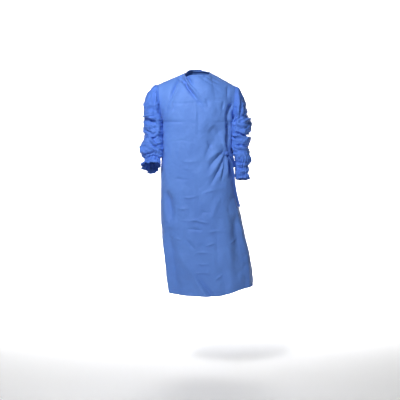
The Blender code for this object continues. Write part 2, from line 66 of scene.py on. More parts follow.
# ---- the body of the gown: level sections, from the hem to the underarm
Section = namedtuple("Section", "z right_x left_x front_y back_y")
TRUNK = (
    Section(-1.178, -0.160, 0.280, 0.156, 0.150),     # hem
    Section(-1.080, -0.170, 0.269, 0.152, 0.146),
    Section(-0.970, -0.180, 0.253, 0.147, 0.140),
    Section(-0.780, -0.195, 0.222, 0.138, 0.128),
    Section(-0.650, -0.196, 0.204, 0.133, 0.119),
    Section(-0.560, -0.194, 0.195, 0.130, 0.114),
    Section(-0.430, -0.191, 0.187, 0.127, 0.110),     # waist, at the tie
    Section(-0.270, -0.188, 0.183, 0.128, 0.112),     # underarm
)
SECTION_POWER = 0.80     # 1 is an ellipse, less is boxier
HEM = TRUNK[0].z
UNDERARM = TRUNK[-1].z
YOKE_HEIGHT = 0.30       # underarm to neck, and the panels' widths: they give the grids' sizes
FRONT_WIDTH = 0.56
INNER_WIDTH = 0.36
OUTER_WIDTH = 0.52
ANGLE_STEPS = 721        # steps for measuring round a section, and along a part of the top edge
TOP_STEPS = 241

# ---- shoulders, armholes and neck
SHOULDER_TIP = {"right": (-0.206, -0.073), "left": (0.197, -0.081)}     # x, z
NECK_CORNER = {"right": (-0.067, -0.013), "left": (0.069, -0.011)}      # x, z
NECK_FRONT = (0.079, -0.018)      # forward reach, drop below the neck corners
NECK_BACK = (0.066, 0.012)        # backward reach, rise above the neck corners
ARMHOLE_CUT = 0.42                # how far round the section an armhole reaches
SHOULDER_ROUND = 2.6              # how late the front turns over into the shoulder seam

# ---- the back flaps: where their free edges lie, as a share of the way round the back
FreeEdge = namedtuple("FreeEdge", "z outer inner")
NECK_LAP = 0.545         # where both end at the neck
FREE_EDGES = (
    FreeEdge(-1.178, 0.93, 0.62),
    FreeEdge(-0.780, 0.93, 0.60),
    FreeEdge(-0.430, 0.91, 0.60),
    FreeEdge(-0.270, 0.76, 0.57),
    FreeEdge(-0.120, 0.62, 0.55),
    FreeEdge(0.000, NECK_LAP, NECK_LAP),
)
FLAP_LAP_START = 0.08    # share of the outer flap's width where it begins to rise over the other
FLAP_LAP_END = 0.36
LAP_SEAM_FADE = 0.10     # its rise fades out this near the shoulder seam
LAP_CORNER_FADE = 0.25   # and comes back over this share of its width past the neck corner
FLARE = 0.026            # how far the outer flap's loose edge stands out at the hem
SIDE_FLARE = 0.021       # and the side seam before it
FLARE_START = 0.55       # shares of the widths of both flaps and of the front where that starts
FRONT_FLARE_START = 0.70
LOOSE_BELOW = -0.50      # height where it starts
HEM_LIFTS = ((0.09, 0.27, 0.034), (-0.10, -0.16, 0.017))     # from x, to x, lift of the hem
HEM_LIFT_HEIGHT = 0.55   # how far up the skirt the lift fades out

# ---- folds and creases: three points across the panel (x) and down it (z); how wide each is to
# the left and to the right of its line; how far it rises; its strength at its head and its tail;
# and how crisp it is, from soft to a sharp crease
Fold = namedtuple("Fold", "x0 z0 x1 z1 x2 z2 left right rise head tail crisp")
# a sleeve's ring, its x as distances from the gown's middle plane; the middle and the half depth
# run front to back, and the tilt lifts its front edge
Ring = namedtuple("Ring", "inner_x inner_z outer_x outer_z middle_y half_depth tilt")


def metres(lengths):
    """Millimetres in metres, free of rounding noise."""
    return [round(length / 1000, 7) for length in lengths]


def folds(*rows):
    """A table of folds: nine lengths in millimetres, then three shares in tenths."""
    return tuple(Fold(*metres(row[:9]), *(share / 10 for share in row[9:])) for row in rows)


def rings(*rows):
    """A table of rings: six lengths in millimetres, then the tilt in degrees."""
    return tuple(Ring(*metres(row[:6]), row[6]) for row in rows)


NECK_FOLDS = folds(
    (-101, -40, -121, -96, -150, -172, 8, 8, -17, 9, 3, 4),
    (-88, -66, -108, -110, -132, -168, 12, 12, 8, 3, 1, 0),
    (-96, -36, -50, -96, 6, -168, 6, 13, -24, 10, 3, 4),
    (-74, -42, -30, -94, 20, -160, 9, 9, 13, 4, 1, 1),
    (4, -166, 26, -188, 46, -222, 8, 10, -6.2, 6, 0, 3),
    (-60, -24, -44, -60, -18, -96, 6, 12, -21, 10, 2, 4),
    (-86, -26, -70, -54, -46, -84, 7, 7, -15, 10, 1, 4),
    (-66, -30, -46, -62, -20, -84, 6, 6, 9.3, 8, 0, 3),
    (-95, -30, -82, -58, -66, -78, 6, 6, 10.9, 9, 0, 3),
    (14, -36, 50, -60, 96, -90, 7, 7, -4.7, 4, 0, 3),
    (36, -30, 80, -54, 134, -78, 6, 7, -5, 6, 0, 3),
    (60, -26, 100, -44, 140, -58, 6, 6, -4.3, 6, 0, 3),
    (30, -150, 50, -172, 56, -204, 5, 10, -5.3, 2, 0, 4),
)
PACKING_FOLDS = folds(
    (-124, -172, -62, -174, 10, -166, 6, 6, -3.9, 5, 4, 7),
    (58, -152, 100, -155, 146, -154, 6, 6, -2.7, 2, 1, 7),
    (-121, -170, -120, -194, -122, -222, 5, 6, -4.5, 8, 0, 6),
    (-156, -170, -159, -206, -163, -250, 6, 8, -4.2, 5, 0, 5),
    (3, -160, 4, -270, 0, -400, 7, 7, -1.9, 5, 0, 6),
    (-8, -170, -10, -270, -12, -390, 10, 10, 1.8, 3, 0, 0),
    (-156, -264, -98, -270, -26, -266, 6, 7, -3, 1, 1, 6),
    (-140, -372, -80, -366, -20, -372, 7, 7, -2.4, 1, 1, 6),
    (137, -160, 133, -188, 128, -214, 7, 5, -5.1, 2, 0, 4),
    (160, -76, 157, -118, 158, -160, 6, 9, -5.1, 2, 1, 3),
    (-78, -658, -38, -660, 6, -649, 5, 5, 5.4, 2, 2, 7),
    (-84, -780, -30, -781, 16, -770, 5, 6, 6.4, 3, 3, 7),
    (-30, -774, 18, -786, 74, -796, 6, 6, 7, 2, 1, 5),
    (-60, -826, -14, -827, 32, -832, 6, 6, -5.5, 1, 1, 5),
    (-10, -952, 30, -947, 70, -952, 5, 6, 5.8, 2, 2, 6),
    (-20, -1060, 30, -1054, 80, -1059, 5, 6, 5.8, 2, 2, 7),
    (38, -917, 66, -905, 94, -894, 5, 5, 6.2, 1, 1, 5),
    (90, -1093, 113, -1076, 136, -1061, 5, 5, 6.2, 1, 1, 5),
    (30, -636, 62, -628, 96, -622, 5, 6, 4.6, 1, 1, 5),
    (56, -844, 100, -836, 146, -843, 5, 6, 4.8, 1, 1, 5),
    (-4, -1003, 36, -1009, 72, -1002, 5, 6, 4.4, 1, 1, 5),
    (-60, -876, -38, -904, -18, -930, 6, 5, -4.6, 1, 1, 4),
    (162, -904, 186, -892, 210, -876, 6, 6, 4.6, 1, 1, 4),
    (-120, -712, -76, -720, -34, -712, 6, 7, 3.6, 1, 1, 4),
    (-116, -872, -96, -880, -78, -876, 5, 6, 3.8, 1, 1, 4),
    (20, -732, 52, -738, 80, -730, 6, 6, -3.4, 1, 1, 4),
    (-80, -470, -40, -476, 4, -470, 6, 7, 3.6, 1, 1, 4),
    (-128, -560, -82, -566, -30, -560, 6, 7, -3.6, 1, 1, 4),
    (2, -560, 4, -700, 0, -880, 10, 7, -2.4, 1, 1, 5),
    (-100, -580, -104, -760, -106, -940, 12, 9, -2.4, 1, 1, 3),
    (100, -820, 104, -940, 110, -1060, 10, 10, -2.7, 1, 1, 3),
)
WAIST_FOLDS = folds(
    # from the left armhole down the side
    (198, -176, 166, -214, 160, -290, 12, 7, -16.3, 2, 9, 4),
    (160, -285, 160, -350, 163, -420, 10, 7, -16, 9, 2, 4),
    (182, -225, 178, -300, 180, -390, 9, 9, 8.8, 2, 1, 0),
    (150, -250, 143, -310, 146, -370, 16, 12, 6.3, 1, 0, 0),
    # the hollow over the waist
    (98, -280, 92, -345, 104, -416, 36, 36, -13, 0, 1, 0),
    (100, -282, 74, -312, 52, -358, 10, 14, -3, 3, 0, 2),
    (94, -276, 118, -326, 144, -390, 14, 9, -4.5, 3, 1, 3),
    (52, -356, 62, -390, 76, -420, 8, 12, -5, 1, 1, 4),
    (126, -330, 138, -372, 150, -420, 9, 9, 7.5, 2, 3, 1),
    # drawn to the tie
    (80, -372, 56, -410, 36, -470, 8, 14, -5.1, 3, 0, 4),
    (132, -428, 86, -472, 44, -534, 8, 11, -8.5, 7, 0, 5),
    (118, -420, 76, -446, 36, -500, 10, 10, 5.1, 6, 0, 1),
    (140, -442, 112, -518, 46, -626, 8, 10, -10.2, 8, 0, 6),
    (136, -444, 98, -500, 44, -580, 10, 10, 6.4, 7, 0, 1),
    (146, -446, 134, -524, 120, -600, 7, 9, -8.5, 9, 0, 6),
    (144, -446, 126, -520, 92, -600, 10, 10, 6, 7, 0, 1),
    (156, -450, 156, -510, 150, -580, 9, 9, 6.8, 9, 0, 1),
    (162, -450, 168, -510, 168, -590, 7, 7, -5.4, 9, 0, 3),
)
SKIRT_FOLDS = folds(
    (-166, -610, -154, -710, -140, -820, 12, 34, -25, 0, 0, 0),
    (-150, -560, -138, -640, -128, -720, 16, 22, 5, 1, 0, 0),
    (-176, -830, -156, -1000, -132, -1190, 12, 13, 18, 1, 10, 2),
    (-152, -800, -130, -1000, -102, -1190, 12, 26, -12, 2, 8, 0),
    (-96, -950, -44, -1028, 50, -1180, 24, 14, 11, 1, 10, 1),
    (-10, -1070, 32, -1120, 78, -1180, 6, 12, -10, 0, 10, 3),
    (108, -664, 84, -735, 58, -796, 12, 16, 4.5, 1, 1, 1),
    (190, -680, 216, -800, 240, -960, 6, 10, 7, 3, 5, 4),
    (238, -900, 252, -1020, 262, -1190, 9, 12, 8, 4, 10, 3),
    (186, -740, 206, -860, 216, -1060, 30, 14, -13, 1, 3, 0),
    (146, -700, 160, -900, 178, -1190, 40, 30, 7, 1, 10, 0),
    (128, -1000, 140, -1090, 150, -1190, 20, 20, -6, 1, 10, 0),
    (-60, -1060, -64, -1120, -70, -1190, 22, 22, -5, 1, 10, 0),
)
FRONT_FOLDS = NECK_FOLDS + PACKING_FOLDS + WAIST_FOLDS + SKIRT_FOLDS
BACK_FOLDS = folds(
    (-120, -150, -128, -400, -110, -760, 30, 30, -12, 3, 0, 0),
    (-30, -120, -14, -500, 20, -1180, 34, 34, 12, 2, 10, 0),
    (150, -440, 60, -560, -60, -720, 30, 30, -11, 8, 0, 0),
    (110, -600, 130, -860, 160, -1180, 32, 32, -14, 2, 10, 0),
    (-90, -700, -96, -940, -104, -1180, 30, 30, 13, 2, 10, 0),
)
# creases of the outer flap's own cloth, finer than those both flaps share
FLAP_FOLDS = folds(
    (164, -436, 90, -486, 10, -560, 8, 10, -5.5, 2, 0, 4),
    (166, -440, 112, -540, 60, -680, 9, 12, -6, 2, 0, 4),
    (160, -430, 80, -420, -10, -450, 9, 9, -5, 2, 0, 3),
    (160, -426, 100, -370, 30, -330, 10, 10, -5, 2, 0, 3),
    (172, -446, 168, -540, 176, -680, 10, 10, -5, 2, 0, 2),
    (-80, -20, -100, -90, -130, -170, 8, 10, -5, 10, 0, 4),
    (-60, -10, -50, -90, -20, -190, 8, 10, -5.5, 10, 0, 4),
    (-120, -262, -40, -268, 60, -264, 6, 6, -2.2, 2, 2, 6),
    (-130, -520, -60, -526, 50, -520, 6, 6, -2.2, 2, 2, 6),
    (-110, -780, -20, -784, 80, -778, 6, 6, 2.6, 2, 2, 6),
    (-120, -1040, -30, -1036, 60, -1042, 6, 6, 2.6, 2, 2, 6),
    (-44, -200, -48, -400, -46, -620, 9, 7, -2.4, 2, 1, 6),
    (70, -700, 80, -880, 84, -1100, 10, 10, -2.4, 2, 1, 5),
    (-160, -620, -156, -720, -140, -830, 16, 22, -11, 1, 0, 0),
    (-60, -860, -20, -960, 50, -1080, 20, 14, 6, 1, 1, 2),
)

# ---- sleeves: rings from the armhole to the frill
SLEEVE_CELL = 0.0030     # spacing of the sleeves' grid
SLEEVE_COLUMNS = 150
SLEEVE_ROWS = 165
SLEEVE_RINGS = {
    "right": rings(
        (190, -269, 207, -73, 0, 68, 0),    # armhole seam
        (191, -273, 232, -85, 0, 73, 0),
        (191, -278, 257, -113, 0, 78, 0),
        (191, -284, 274, -142, 0, 82, 0),
        (192, -290, 284, -180, 0, 84, 0),
        (192, -298, 282, -222, -1, 85, 1),
        (192, -310, 277, -243, -2, 78, 2),    # tuck
        (192, -326, 285, -278, -4, 83, 3),
        (193, -346, 285, -322, -7, 80, 5),
        (193, -366, 275, -354, -12, 69, 8),    # elbow tuck
        (194, -388, 294, -384, -20, 74, 13),
        (194, -410, 306, -408, -29, 71, 18),
        (196, -433, 299, -434, -38, 62, 22),
        (201, -455, 286, -456, -47, 50, 26),
        (208, -472, 277, -473, -55, 38, 29),    # gathered wrist
        (206, -492, 290, -491, -64, 47, 35),
        (205, -512, 297, -508, -73, 52, 40),    # frill
    ),
    "left": rings(
        (186, -269, 198, -81, 0, 68, 0),    # armhole seam
        (187, -273, 216, -93, 0, 73, 0),
        (187, -278, 235, -126, 0, 78, 0),
        (187, -283, 248, -158, 0, 81, 0),
        (187, -288, 257, -192, 0, 83, 0),
        (188, -294, 255, -222, -1, 78, 1),    # shoulder tuck
        (188, -302, 274, -252, -1, 86, 2),
        (188, -318, 285, -285, -3, 86, 3),
        (189, -334, 282, -314, -5, 81, 4),
        (189, -352, 264, -343, -9, 68, 5),    # elbow tuck
        (189, -376, 279, -374, -15, 74, 7),
        (191, -404, 264, -405, -24, 62, 9),    # tuck
        (199, -430, 272, -430, -31, 62, 10),
        (201, -468, 281, -470, -40, 60, 11),
        (202, -490, 268, -491, -46, 44, 12),    # gathered wrist
        (202, -520, 266, -520, -52, 42, 12),
        (202, -545, 272, -545, -58, 46, 12),
        (202, -570, 272, -569, -64, 45, 12),    # frill
    ),
}

# creases on a sleeve's front half and back half, placed as the panels' folds are
SLEEVE_FOLDS = {
    ("right", "front"): folds(
        (-214, -96, -219, -140, -216, -196, 6.5, 9.1, -7.5, 6, 2, 3),
        (-229, -104, -234, -150, -238, -192, 6.5, 9.1, -5, 5, 1, 3),
        (-222, -100, -226, -150, -228, -190, 6.5, 6.5, 6.3, 5, 1, 1),
        (-272, -216, -246, -202, -212, -212, 7.8, 10.4, 8.8, 3, 3, 1),
        (-262, -224, -244, -220, -220, -226, 6.5, 6.5, -7.5, 3, 3, 3),
        (-284, -238, -256, -238, -232, -228, 6.5, 6.5, -13.7, 9, 2, 3),
        (-252, -244, -234, -251, -204, -256, 6.5, 7.8, -13.7, 4, 4, 3),
        (-276, -262, -244, -262, -214, -272, 7.8, 9.1, 7.5, 3, 3, 1),
        (-272, -290, -252, -296, -236, -292, 7.8, 7.8, -4.4, 1, 1, 3),
        (-210, -262, -204, -300, -206, -346, 7.8, 9.1, -10, 3, 4, 3),
        (-278, -312, -250, -316, -222, -304, 13, 13, 6.3, 2, 2, 0),
        (-284, -342, -258, -348, -222, -340, 7.8, 7.8, -13.1, 8, 4, 3),
        (-286, -362, -266, -362, -248, -356, 6.5, 6.5, -8.8, 9, 1, 3),
        (-240, -346, -222, -364, -200, -388, 6.5, 6.5, 10, 4, 3, 2),
        (-250, -352, -234, -374, -204, -402, 6.5, 6.5, -10, 3, 3, 3),
        (-248, -372, -230, -394, -204, -418, 7.8, 6.5, 8.8, 2, 3, 2),
        (-240, -392, -226, -410, -206, -430, 6.5, 6.5, -10, 2, 4, 3),
        (-296, -410, -279, -424, -258, -412, 9.1, 9.1, -11.2, 5, 1, 3),
        (-300, -392, -280, -398, -262, -394, 10.4, 10.4, 6.3, 3, 1, 0),
    ),
    ("right", "back"): folds(
        (-222, -100, -220, -150, -216, -196, 7.8, 10.4, -6.3, 5, 2, 3),
        (-284, -238, -250, -244, -214, -236, 7.8, 7.8, -13.7, 9, 2, 3),
        (-276, -206, -240, -200, -206, -214, 10.4, 10.4, 7.5, 3, 3, 1),
        (-276, -266, -240, -272, -206, -262, 9.1, 9.1, 7.5, 3, 3, 1),
        (-278, -312, -242, -304, -212, -314, 10.4, 10.4, -6.3, 2, 2, 3),
        (-284, -352, -252, -342, -210, -352, 7.8, 7.8, -14.4, 8, 4, 3),
        (-290, -384, -256, -374, -208, -392, 10.4, 10.4, 8.8, 4, 3, 2),
        (-290, -414, -256, -402, -214, -424, 9.1, 9.1, -10, 3, 3, 3),
    ),
    ("left", "front"): folds(
        (206, -98, 212, -140, 214, -176, 7.8, 7.8, -5.6, 4, 1, 3),
        (219, -140, 213, -220, 199, -340, 7.8, 9.1, -13.7, 3, 4, 3),
        (206, -200, 201, -260, 194, -330, 9.1, 9.1, 8.8, 2, 3, 1),
        (228, -180, 222, -220, 214, -262, 7.8, 7.8, 6.3, 2, 1, 1),
        (260, -206, 248, -224, 238, -244, 7.8, 7.8, -13.7, 10, 1, 3),
        (278, -252, 250, -264, 218, -284, 6.5, 7.8, -10.6, 7, 3, 3),
        (276, -246, 252, -252, 222, -272, 7.8, 7.8, 6.3, 7, 3, 1),
        (266, -290, 244, -286, 216, -298, 7.8, 10.4, -6.3, 1, 2, 3),
        (272, -306, 246, -304, 220, -306, 11.7, 11.7, 6.3, 2, 2, 0),
        (206, -312, 238, -324, 272, -334, 6.5, 6.5, -11.2, 8, 7, 3),
        (204, -328, 236, -336, 268, -344, 6.5, 6.5, 7.5, 7, 5, 1),
        (196, -344, 232, -348, 272, -360, 6.5, 6.5, -16.3, 9, 8, 3),
        (262, -372, 240, -374, 212, -368, 10.4, 10.4, 6.3, 2, 2, 0),
        (196, -400, 228, -407, 270, -416, 6.5, 6.5, -15, 9, 8, 3),
        (198, -392, 226, -392, 250, -398, 7.8, 7.8, 6.3, 4, 3, 1),
        (197, -486, 230, -494, 264, -486, 7.8, 7.8, -11.2, 9, 9, 3),
        (204, -520, 226, -512, 246, -530, 6.5, 6.5, 6.9, 3, 2, 3),
        (214, -548, 234, -528, 262, -524, 6.5, 6.5, -8.8, 3, 4, 3),
        (206, -540, 214, -526, 230, -514, 6.5, 6.5, -7.5, 3, 4, 3),
        (240, -560, 250, -540, 266, -536, 6.5, 6.5, 7.5, 3, 4, 3),
    ),
    ("left", "back"): folds(
        (212, -100, 216, -150, 214, -196, 7.8, 10.4, -6.3, 5, 2, 3),
        (262, -214, 236, -230, 206, -226, 7.8, 7.8, -13.7, 10, 2, 3),
        (274, -262, 240, -254, 206, -268, 10.4, 10.4, 7.5, 3, 3, 1),
        (276, -296, 244, -304, 210, -294, 9.1, 9.1, -10, 5, 3, 3),
        (270, -344, 236, -352, 202, -340, 7.8, 7.8, -15.6, 9, 6, 3),
        (266, -376, 240, -368, 206, -378, 10.4, 10.4, 6.9, 3, 3, 1),
        (268, -410, 236, -404, 202, -412, 7.8, 7.8, -14.4, 9, 8, 3),
        (264, -488, 232, -492, 202, -486, 7.8, 7.8, -10, 9, 9, 3),
        (256, -540, 236, -524, 208, -536, 6.5, 6.5, -7.5, 3, 4, 3),
    ),
}

# how far a sleeve's front swings in over the body beside it, and the height where that ends
HUG = {"right": 0.020, "left": 0.017}
HUG_ENDS = {"right": -0.700, "left": -0.490}
HUG_END_FADE = 0.05
HUG_START = 0.015        # distance from the seam where it starts, and over which it grows
HUG_GROWTH = 0.060
REST_GAP = 0.0022        # between the middles of a sleeve and of the body it rests on
REST_REACH = 0.040       # how far from the body a sleeve is looked at
REST_TOP = -0.215        # height above which a sleeve is left alone
REST_TOP_FADE = 0.020

# the crumpled cloth: soft swells, long puffs above a height, bunched tucks across the sleeve
# below it, and small puffs; all wander a little off the noise's lattice
SWELL = 0.0026
SWELL_SIZE = 0.060
LONG_PUFFS = 0.0034
TUCKS = 0.0048
SMALL_PUFFS = 0.0020
PUFF_SIZE = 0.026
SMALL_SIZE = 0.012
BUNCH_TOP = -0.195       # where the bunching starts, and how far down it takes to grow
BUNCH_GROWTH = 0.06
DRIFT = 0.014
DRIFT_SIZE = 0.050
DRIFT_SEEDS = (31.0, 37.0, 41.0)
WOBBLE = 1.6             # unevenness of the pleats and puckers
WOBBLE_SIZE = 0.050
PUCKER = 0.0016          # height, width from the seam and number of the armhole's puckers
PUCKER_WIDTH = 0.030
PUCKERS = 40.0
SEAM_WIDTH = 0.012       # the cloth beside the seam, which lies flatter
ARMHOLE_BLEND = 0.020    # distances from the seam where the rings' form and the rise are reached
RISE_GROWTH = 0.016

# gathers: height of the gathered wrist, how far above and below it the pleats run, how many
# there are round the sleeve, how deep they are there and in the frill
Gather = namedtuple("Gather", "z above below pleats depth frill")
FRILL_WAVES = 0.43       # waves of the frill for each pleat
GATHERS = {
    "right": Gather(-0.4725, 0.070, 0.040, 23, 0.0032, 0.0045),
    "left": Gather(-0.4905, 0.075, 0.080, 21, 0.0032, 0.0038),
}

# ---- ties
TIE_WIDTH = 0.019
TIE_WALL = 0.0009
FLAP_TIE_START = 0.03              # share of the back by which the flap covers its tie's root
FLAP_TIE_END = 0.915               # share of the front where that tie meets the knot
RIBBON_STEPS = 10                  # rows of points between two stations
RIBBON_COLUMNS = 11
BINDING_WIDTH = 0.013
BINDING_STEPS = 7
BAND_LIFT = 0.0013                 # from a panel's middle to the binding's
BAND_SMOOTHING = 6                 # rounds of evening out its directions
STITCH_PITCH = 0.0034
STITCH_RUN = 0.0024
STITCH_THICK = 0.00045
STITCH_ARCH = ((0.0, -0.0003), (0.25, 0.0004), (0.75, 0.0004), (1.0, -0.0003))   # share, height
STITCH_SIDES = 6
KNOT = (0.152, -0.432)             # x, z of its middle on the front
KNOT_LIFT = 0.0125                 # from the front to the knot's middle
KNOT_AHEAD = (0.45, -1.0, 0.0)     # the way it looks
LOOP_COLUMNS = 40
Loop = namedtuple("Loop", "shift axis radii width")
KNOT_LOOPS = (
    Loop((0.0, 0.0, 0.0), (0.55, 0.2, 0.85), (0.0066, 0.0100), 0.013),
    Loop((0.0, 0.0, 0.0), (-0.75, -0.3, 0.62), (0.0078, 0.0110), 0.010),
    Loop((0.002, 0.0, -0.002), (0.95, 0.3, 0.15), (0.0060, 0.0088), 0.015),
)
Station = namedtuple("Station", "x y z facing")        # facing: degrees from the front to +X
TAIL = (
    Station(0.160, -0.1120, -0.449, 30),
    Station(0.170, -0.1080, -0.468, 34),
    Station(0.179, -0.1000, -0.495, 36),
    Station(0.186, -0.0920, -0.535, 36),
    Station(0.190, -0.0860, -0.575, 36),
    Station(0.196, -0.0780, -0.620, 36),
    Station(0.208, -0.0660, -0.672, 36),
    Station(0.220, -0.0560, -0.718, 36),
)
SHORT_TAIL = (
    Station(0.168, -0.1000, -0.436, 40),
    Station(0.179, -0.0940, -0.446, 44),
    Station(0.186, -0.0850, -0.464, 48),
    Station(0.190, -0.0780, -0.486, 50),
    Station(0.191, -0.0740, -0.508, 50),
)

# ---- the cut: a record of how large a piece was before it was sewn, laid flat
Cut = namedtuple("Cut", "flat area")

# ---- colours
BODY_BLUE = (0.104, 0.234, 0.650)
BODY_DEEP = (0.090, 0.208, 0.605)
# the sleeves' cloth is the body's cloth made darker: painted shade for the sleeves, which hang away
# from the key lamp
SLEEVE_SHADED_BLUE = (0.076, 0.196, 0.660)
SLEEVE_SHADED_DEEP = (0.062, 0.168, 0.600)
BAND_BLUE = (0.130, 0.285, 0.780)
BAND_DEEP = (0.118, 0.262, 0.740)
# the ties' cloth is the body's cloth made darker: painted shade, mostly for the shadow the hanging
# tail lies in
TIE_SHADED_BLUE = (0.065, 0.165, 0.580)
TIE_SHADED_DEEP = (0.050, 0.136, 0.510)
THREAD = (0.150, 0.300, 0.760)
PAPER = (0.93, 0.93, 0.93)
ROUGHNESS = 0.68         # of all the cloth

# ---- camera: level with the chest, as the display figure was seen
CAMERA = (0.0134, -4.2, -0.26)
LOOKS_AT = (0.0134, 0.0, -0.686)
LENS = 70.9
SKY = 0.06               # strength of the even light all round

# the floor: its half width, where it starts and bends up, how high it goes and the bend's radius
FLOOR_Z = -1.62
FLOOR_SIDE = 9.0
FLOOR_NEAR = -8.0
FLOOR_FAR = 3.0
FLOOR_WALL = 6.0
FLOOR_BEND = 1.5
BEND_STEPS = 12
Lamp = namedtuple("Lamp", "name at aim size watts spread")
LAMPS = (
    Lamp("key", (-0.74, -1.72, 1.00), (0.0, 0.0, -0.10), 0.7, 57.0, 180),
    Lamp("fill", (1.4, -3.2, 0.1), (0.0, 0.0, -0.4), 1.6, 12.5, 180),
    Lamp("wall_right", (2.6, 1.6, 1.2), (0.8, 4.4, -1.2), 2.0, 100.0, 130),
    Lamp("wall_left", (-2.6, 1.6, 1.2), (-0.8, 4.4, -1.2), 2.0, 100.0, 130),
    Lamp("floor", (0.0, 2.4, 1.4), (0.0, 2.6, -1.6), 2.0, 64.0, 110),
)


# ---- small tools ----------------------------------------------------------------------------

def smooth_curve(at, knots, values):
    """Values between knots, on a curve that passes smoothly through each."""
    slopes = np.gradient(values, knots)
    last = len(knots) - 2
    index = np.clip(np.searchsorted(knots, at, side="right") - 1, 0, last)
    span = knots[index + 1] - knots[index]
    t = np.clip((at - knots[index]) / span, 0.0, 1.0)
    rise = values[index + 1] - values[index]
    start = slopes[index] * span
    end = slopes[index + 1] * span
    bend = 3 * rise - 2 * start - end
    return values[index] + t * start + t**2 * bend + t**3 * (start + end - 2 * rise)


def column(rows, name):
    """One named column of a table, as an array."""
    return np.array([getattr(row, name) for row in rows], dtype=float)


def soft_step(t):
    """0 to 1 with a level start and end."""
    t = np.clip(t, 0.0, 1.0)
    return t * t * (3.0 - 2.0 * t)


def turned(wave):
    """A sine or cosine, made boxier by the section's power."""
    return np.sign(wave) * np.abs(wave) ** SECTION_POWER


def unit(vectors):
    """Vectors made one long."""
    return vectors / np.linalg.norm(vectors, axis=-1, keepdims=True)


def run_length(steps):
    """Distance run at each point, from the steps between the points."""
    return np.concatenate(([0.0], np.cumsum(steps)))


def points_at(at, knots, points):
    """Points at places along a run of points, straight from one to the next."""
    return np.stack([np.interp(at, knots, points[:, axis]) for axis in range(3)], axis=-1)


def noise_at(points, scale, seed, octaves=3):
    """Soft three-dimensional noise from -1 to 1 at each point; scale is its largest wave."""
    flat = points.reshape(-1, 3) / scale + seed
    values = [noise.fractal(Vector(p), 1.0, 2.0, octaves) for p in flat]
    return np.array(values).reshape(points.shape[:-1])


def puffs(points, squeeze, scale, seed):
    """Round puffs with creased valleys between them, from -1 to 1; squeeze sets their shape."""
    flat = (points * squeeze).reshape(-1, 3) / scale + seed
    values = np.abs([noise.noise(Vector(p)) for p in flat])
    return (3.2 * values - 0.8).clip(-1.0, 1.0).reshape(points.shape[:-1])


# ---- the body of the gown -------------------------------------------------------------------

def depth_name(facing):
    """The table column with the depth of the front (-1) or the back (+1)."""
    return "front_y" if facing < 0 else "back_y"


def section_sizes(z, facing):
    """Right x, left x and depth of the level section at height z."""
    knots = column(TRUNK, "z")
    names = ("right_x", "left_x", depth_name(facing))
    return [smooth_curve(z, knots, column(TRUNK, name)) for name in names]


def angle_at(z, share, facing):
    """Angle round a level section, for shares of its length from the right seam to the left."""
    angles = np.linspace(-np.pi / 2, np.pi / 2, ANGLE_STEPS)
    right, left, depth = section_sizes(z, facing)
    x = (left - right) / 2 * turned(np.sin(angles))
    y = depth * turned(np.cos(angles))
    length = run_length(np.hypot(np.diff(x), np.diff(y)))
    return np.interp(share, length / length[-1], angles)


def trunk_point(z, share, facing):
    """Points of the level section at height z."""
    right, left, depth = section_sizes(z, facing)
    angle = angle_at(z, share, facing)
    x = (left + right) / 2 + (left - right) / 2 * turned(np.sin(angle))
    y = facing * depth * turned(np.cos(angle))
    low = soft_step(1.0 - (z - HEM) / HEM_LIFT_HEIGHT)
    lift = sum(height * soft_step((x - start) / (full - start))
               for start, full, height in HEM_LIFTS)
    return np.stack([x, y, z + low * lift], axis=-1)


def top_edge(facing):
    """Dense points of the top edge, right shoulder tip to left, and the neck corners' shares."""
    reach, height = NECK_FRONT if facing < 0 else NECK_BACK
    t = np.linspace(0.0, 1.0, TOP_STEPS)
    right_tip, left_tip, right_neck, left_neck = (
        np.array((x, 0.0, z)) for corners in (SHOULDER_TIP, NECK_CORNER)
        for x, z in (corners["right"], corners["left"]))
    turn = t * np.pi - np.pi / 2
    across = (np.sin(turn) + 1) / 2
    neckline = right_neck + (left_neck - right_neck) * across[:, None]
    neckline[:, 1] = facing * reach * np.cos(turn)
    neckline[:, 2] += height * np.cos(turn)
    parts = (right_tip + (right_neck - right_tip) * t[:, None], neckline[1:],
             left_neck + (left_tip - left_neck) * t[1:, None])
    points = np.concatenate(parts)
    length = run_length(np.linalg.norm(np.diff(points, axis=0), axis=1))
    share = length / length[-1]
    return points, share, share[TOP_STEPS - 1], share[2 * (TOP_STEPS - 1)]


def yoke_point(level, share, facing):
    """Points above the underarm: level 0 is the underarm, 1 the shoulder seams and neckline."""
    edge, edge_share, _, _ = top_edge(facing)
    top = points_at(share, edge_share, edge)
    base = trunk_point(UNDERARM, share, facing)
    angle = angle_at(UNDERARM, share, facing)
    depth = getattr(TRUNK[-1], depth_name(facing))
    squeeze = 1.0 - ARMHOLE_CUT * np.sqrt(level)
    section_y = depth * turned(np.cos(angle * squeeze))
    over = np.sqrt(max(0.0, 1.0 - level ** SHOULDER_ROUND))
    x = base[:, 0] + (top[:, 0] - base[:, 0]) * level
    y = facing * (section_y * over + np.abs(top[:, 1]) * (1.0 - over))
    z = base[:, 2] + (top[:, 2] - base[:, 2]) * level
    return np.stack([x, y, z], axis=-1)


def body_grid(shares_at, facing):
    """Grid of a panel, its rows about a cell apart, and which of its points lie on a side seam
    or a shoulder seam; shares_at(z) gives a row's columns."""
    heights = np.linspace(HEM, UNDERARM, int((UNDERARM - HEM) / CELL) + 1)
    yoke_rows = int(YOKE_HEIGHT / CELL)
    levels = np.sin(np.linspace(0.0, 1.0, yoke_rows + 1) * np.pi / 2)[1:]
    rows = [trunk_point(z, shares_at(z), facing) for z in heights]
    rows += [yoke_point(level, shares_at(UNDERARM * (1.0 - level)), facing) for level in levels]
    grid = np.array(rows)
    return grid, np.abs(grid[:, :, 1]) < 1e-7


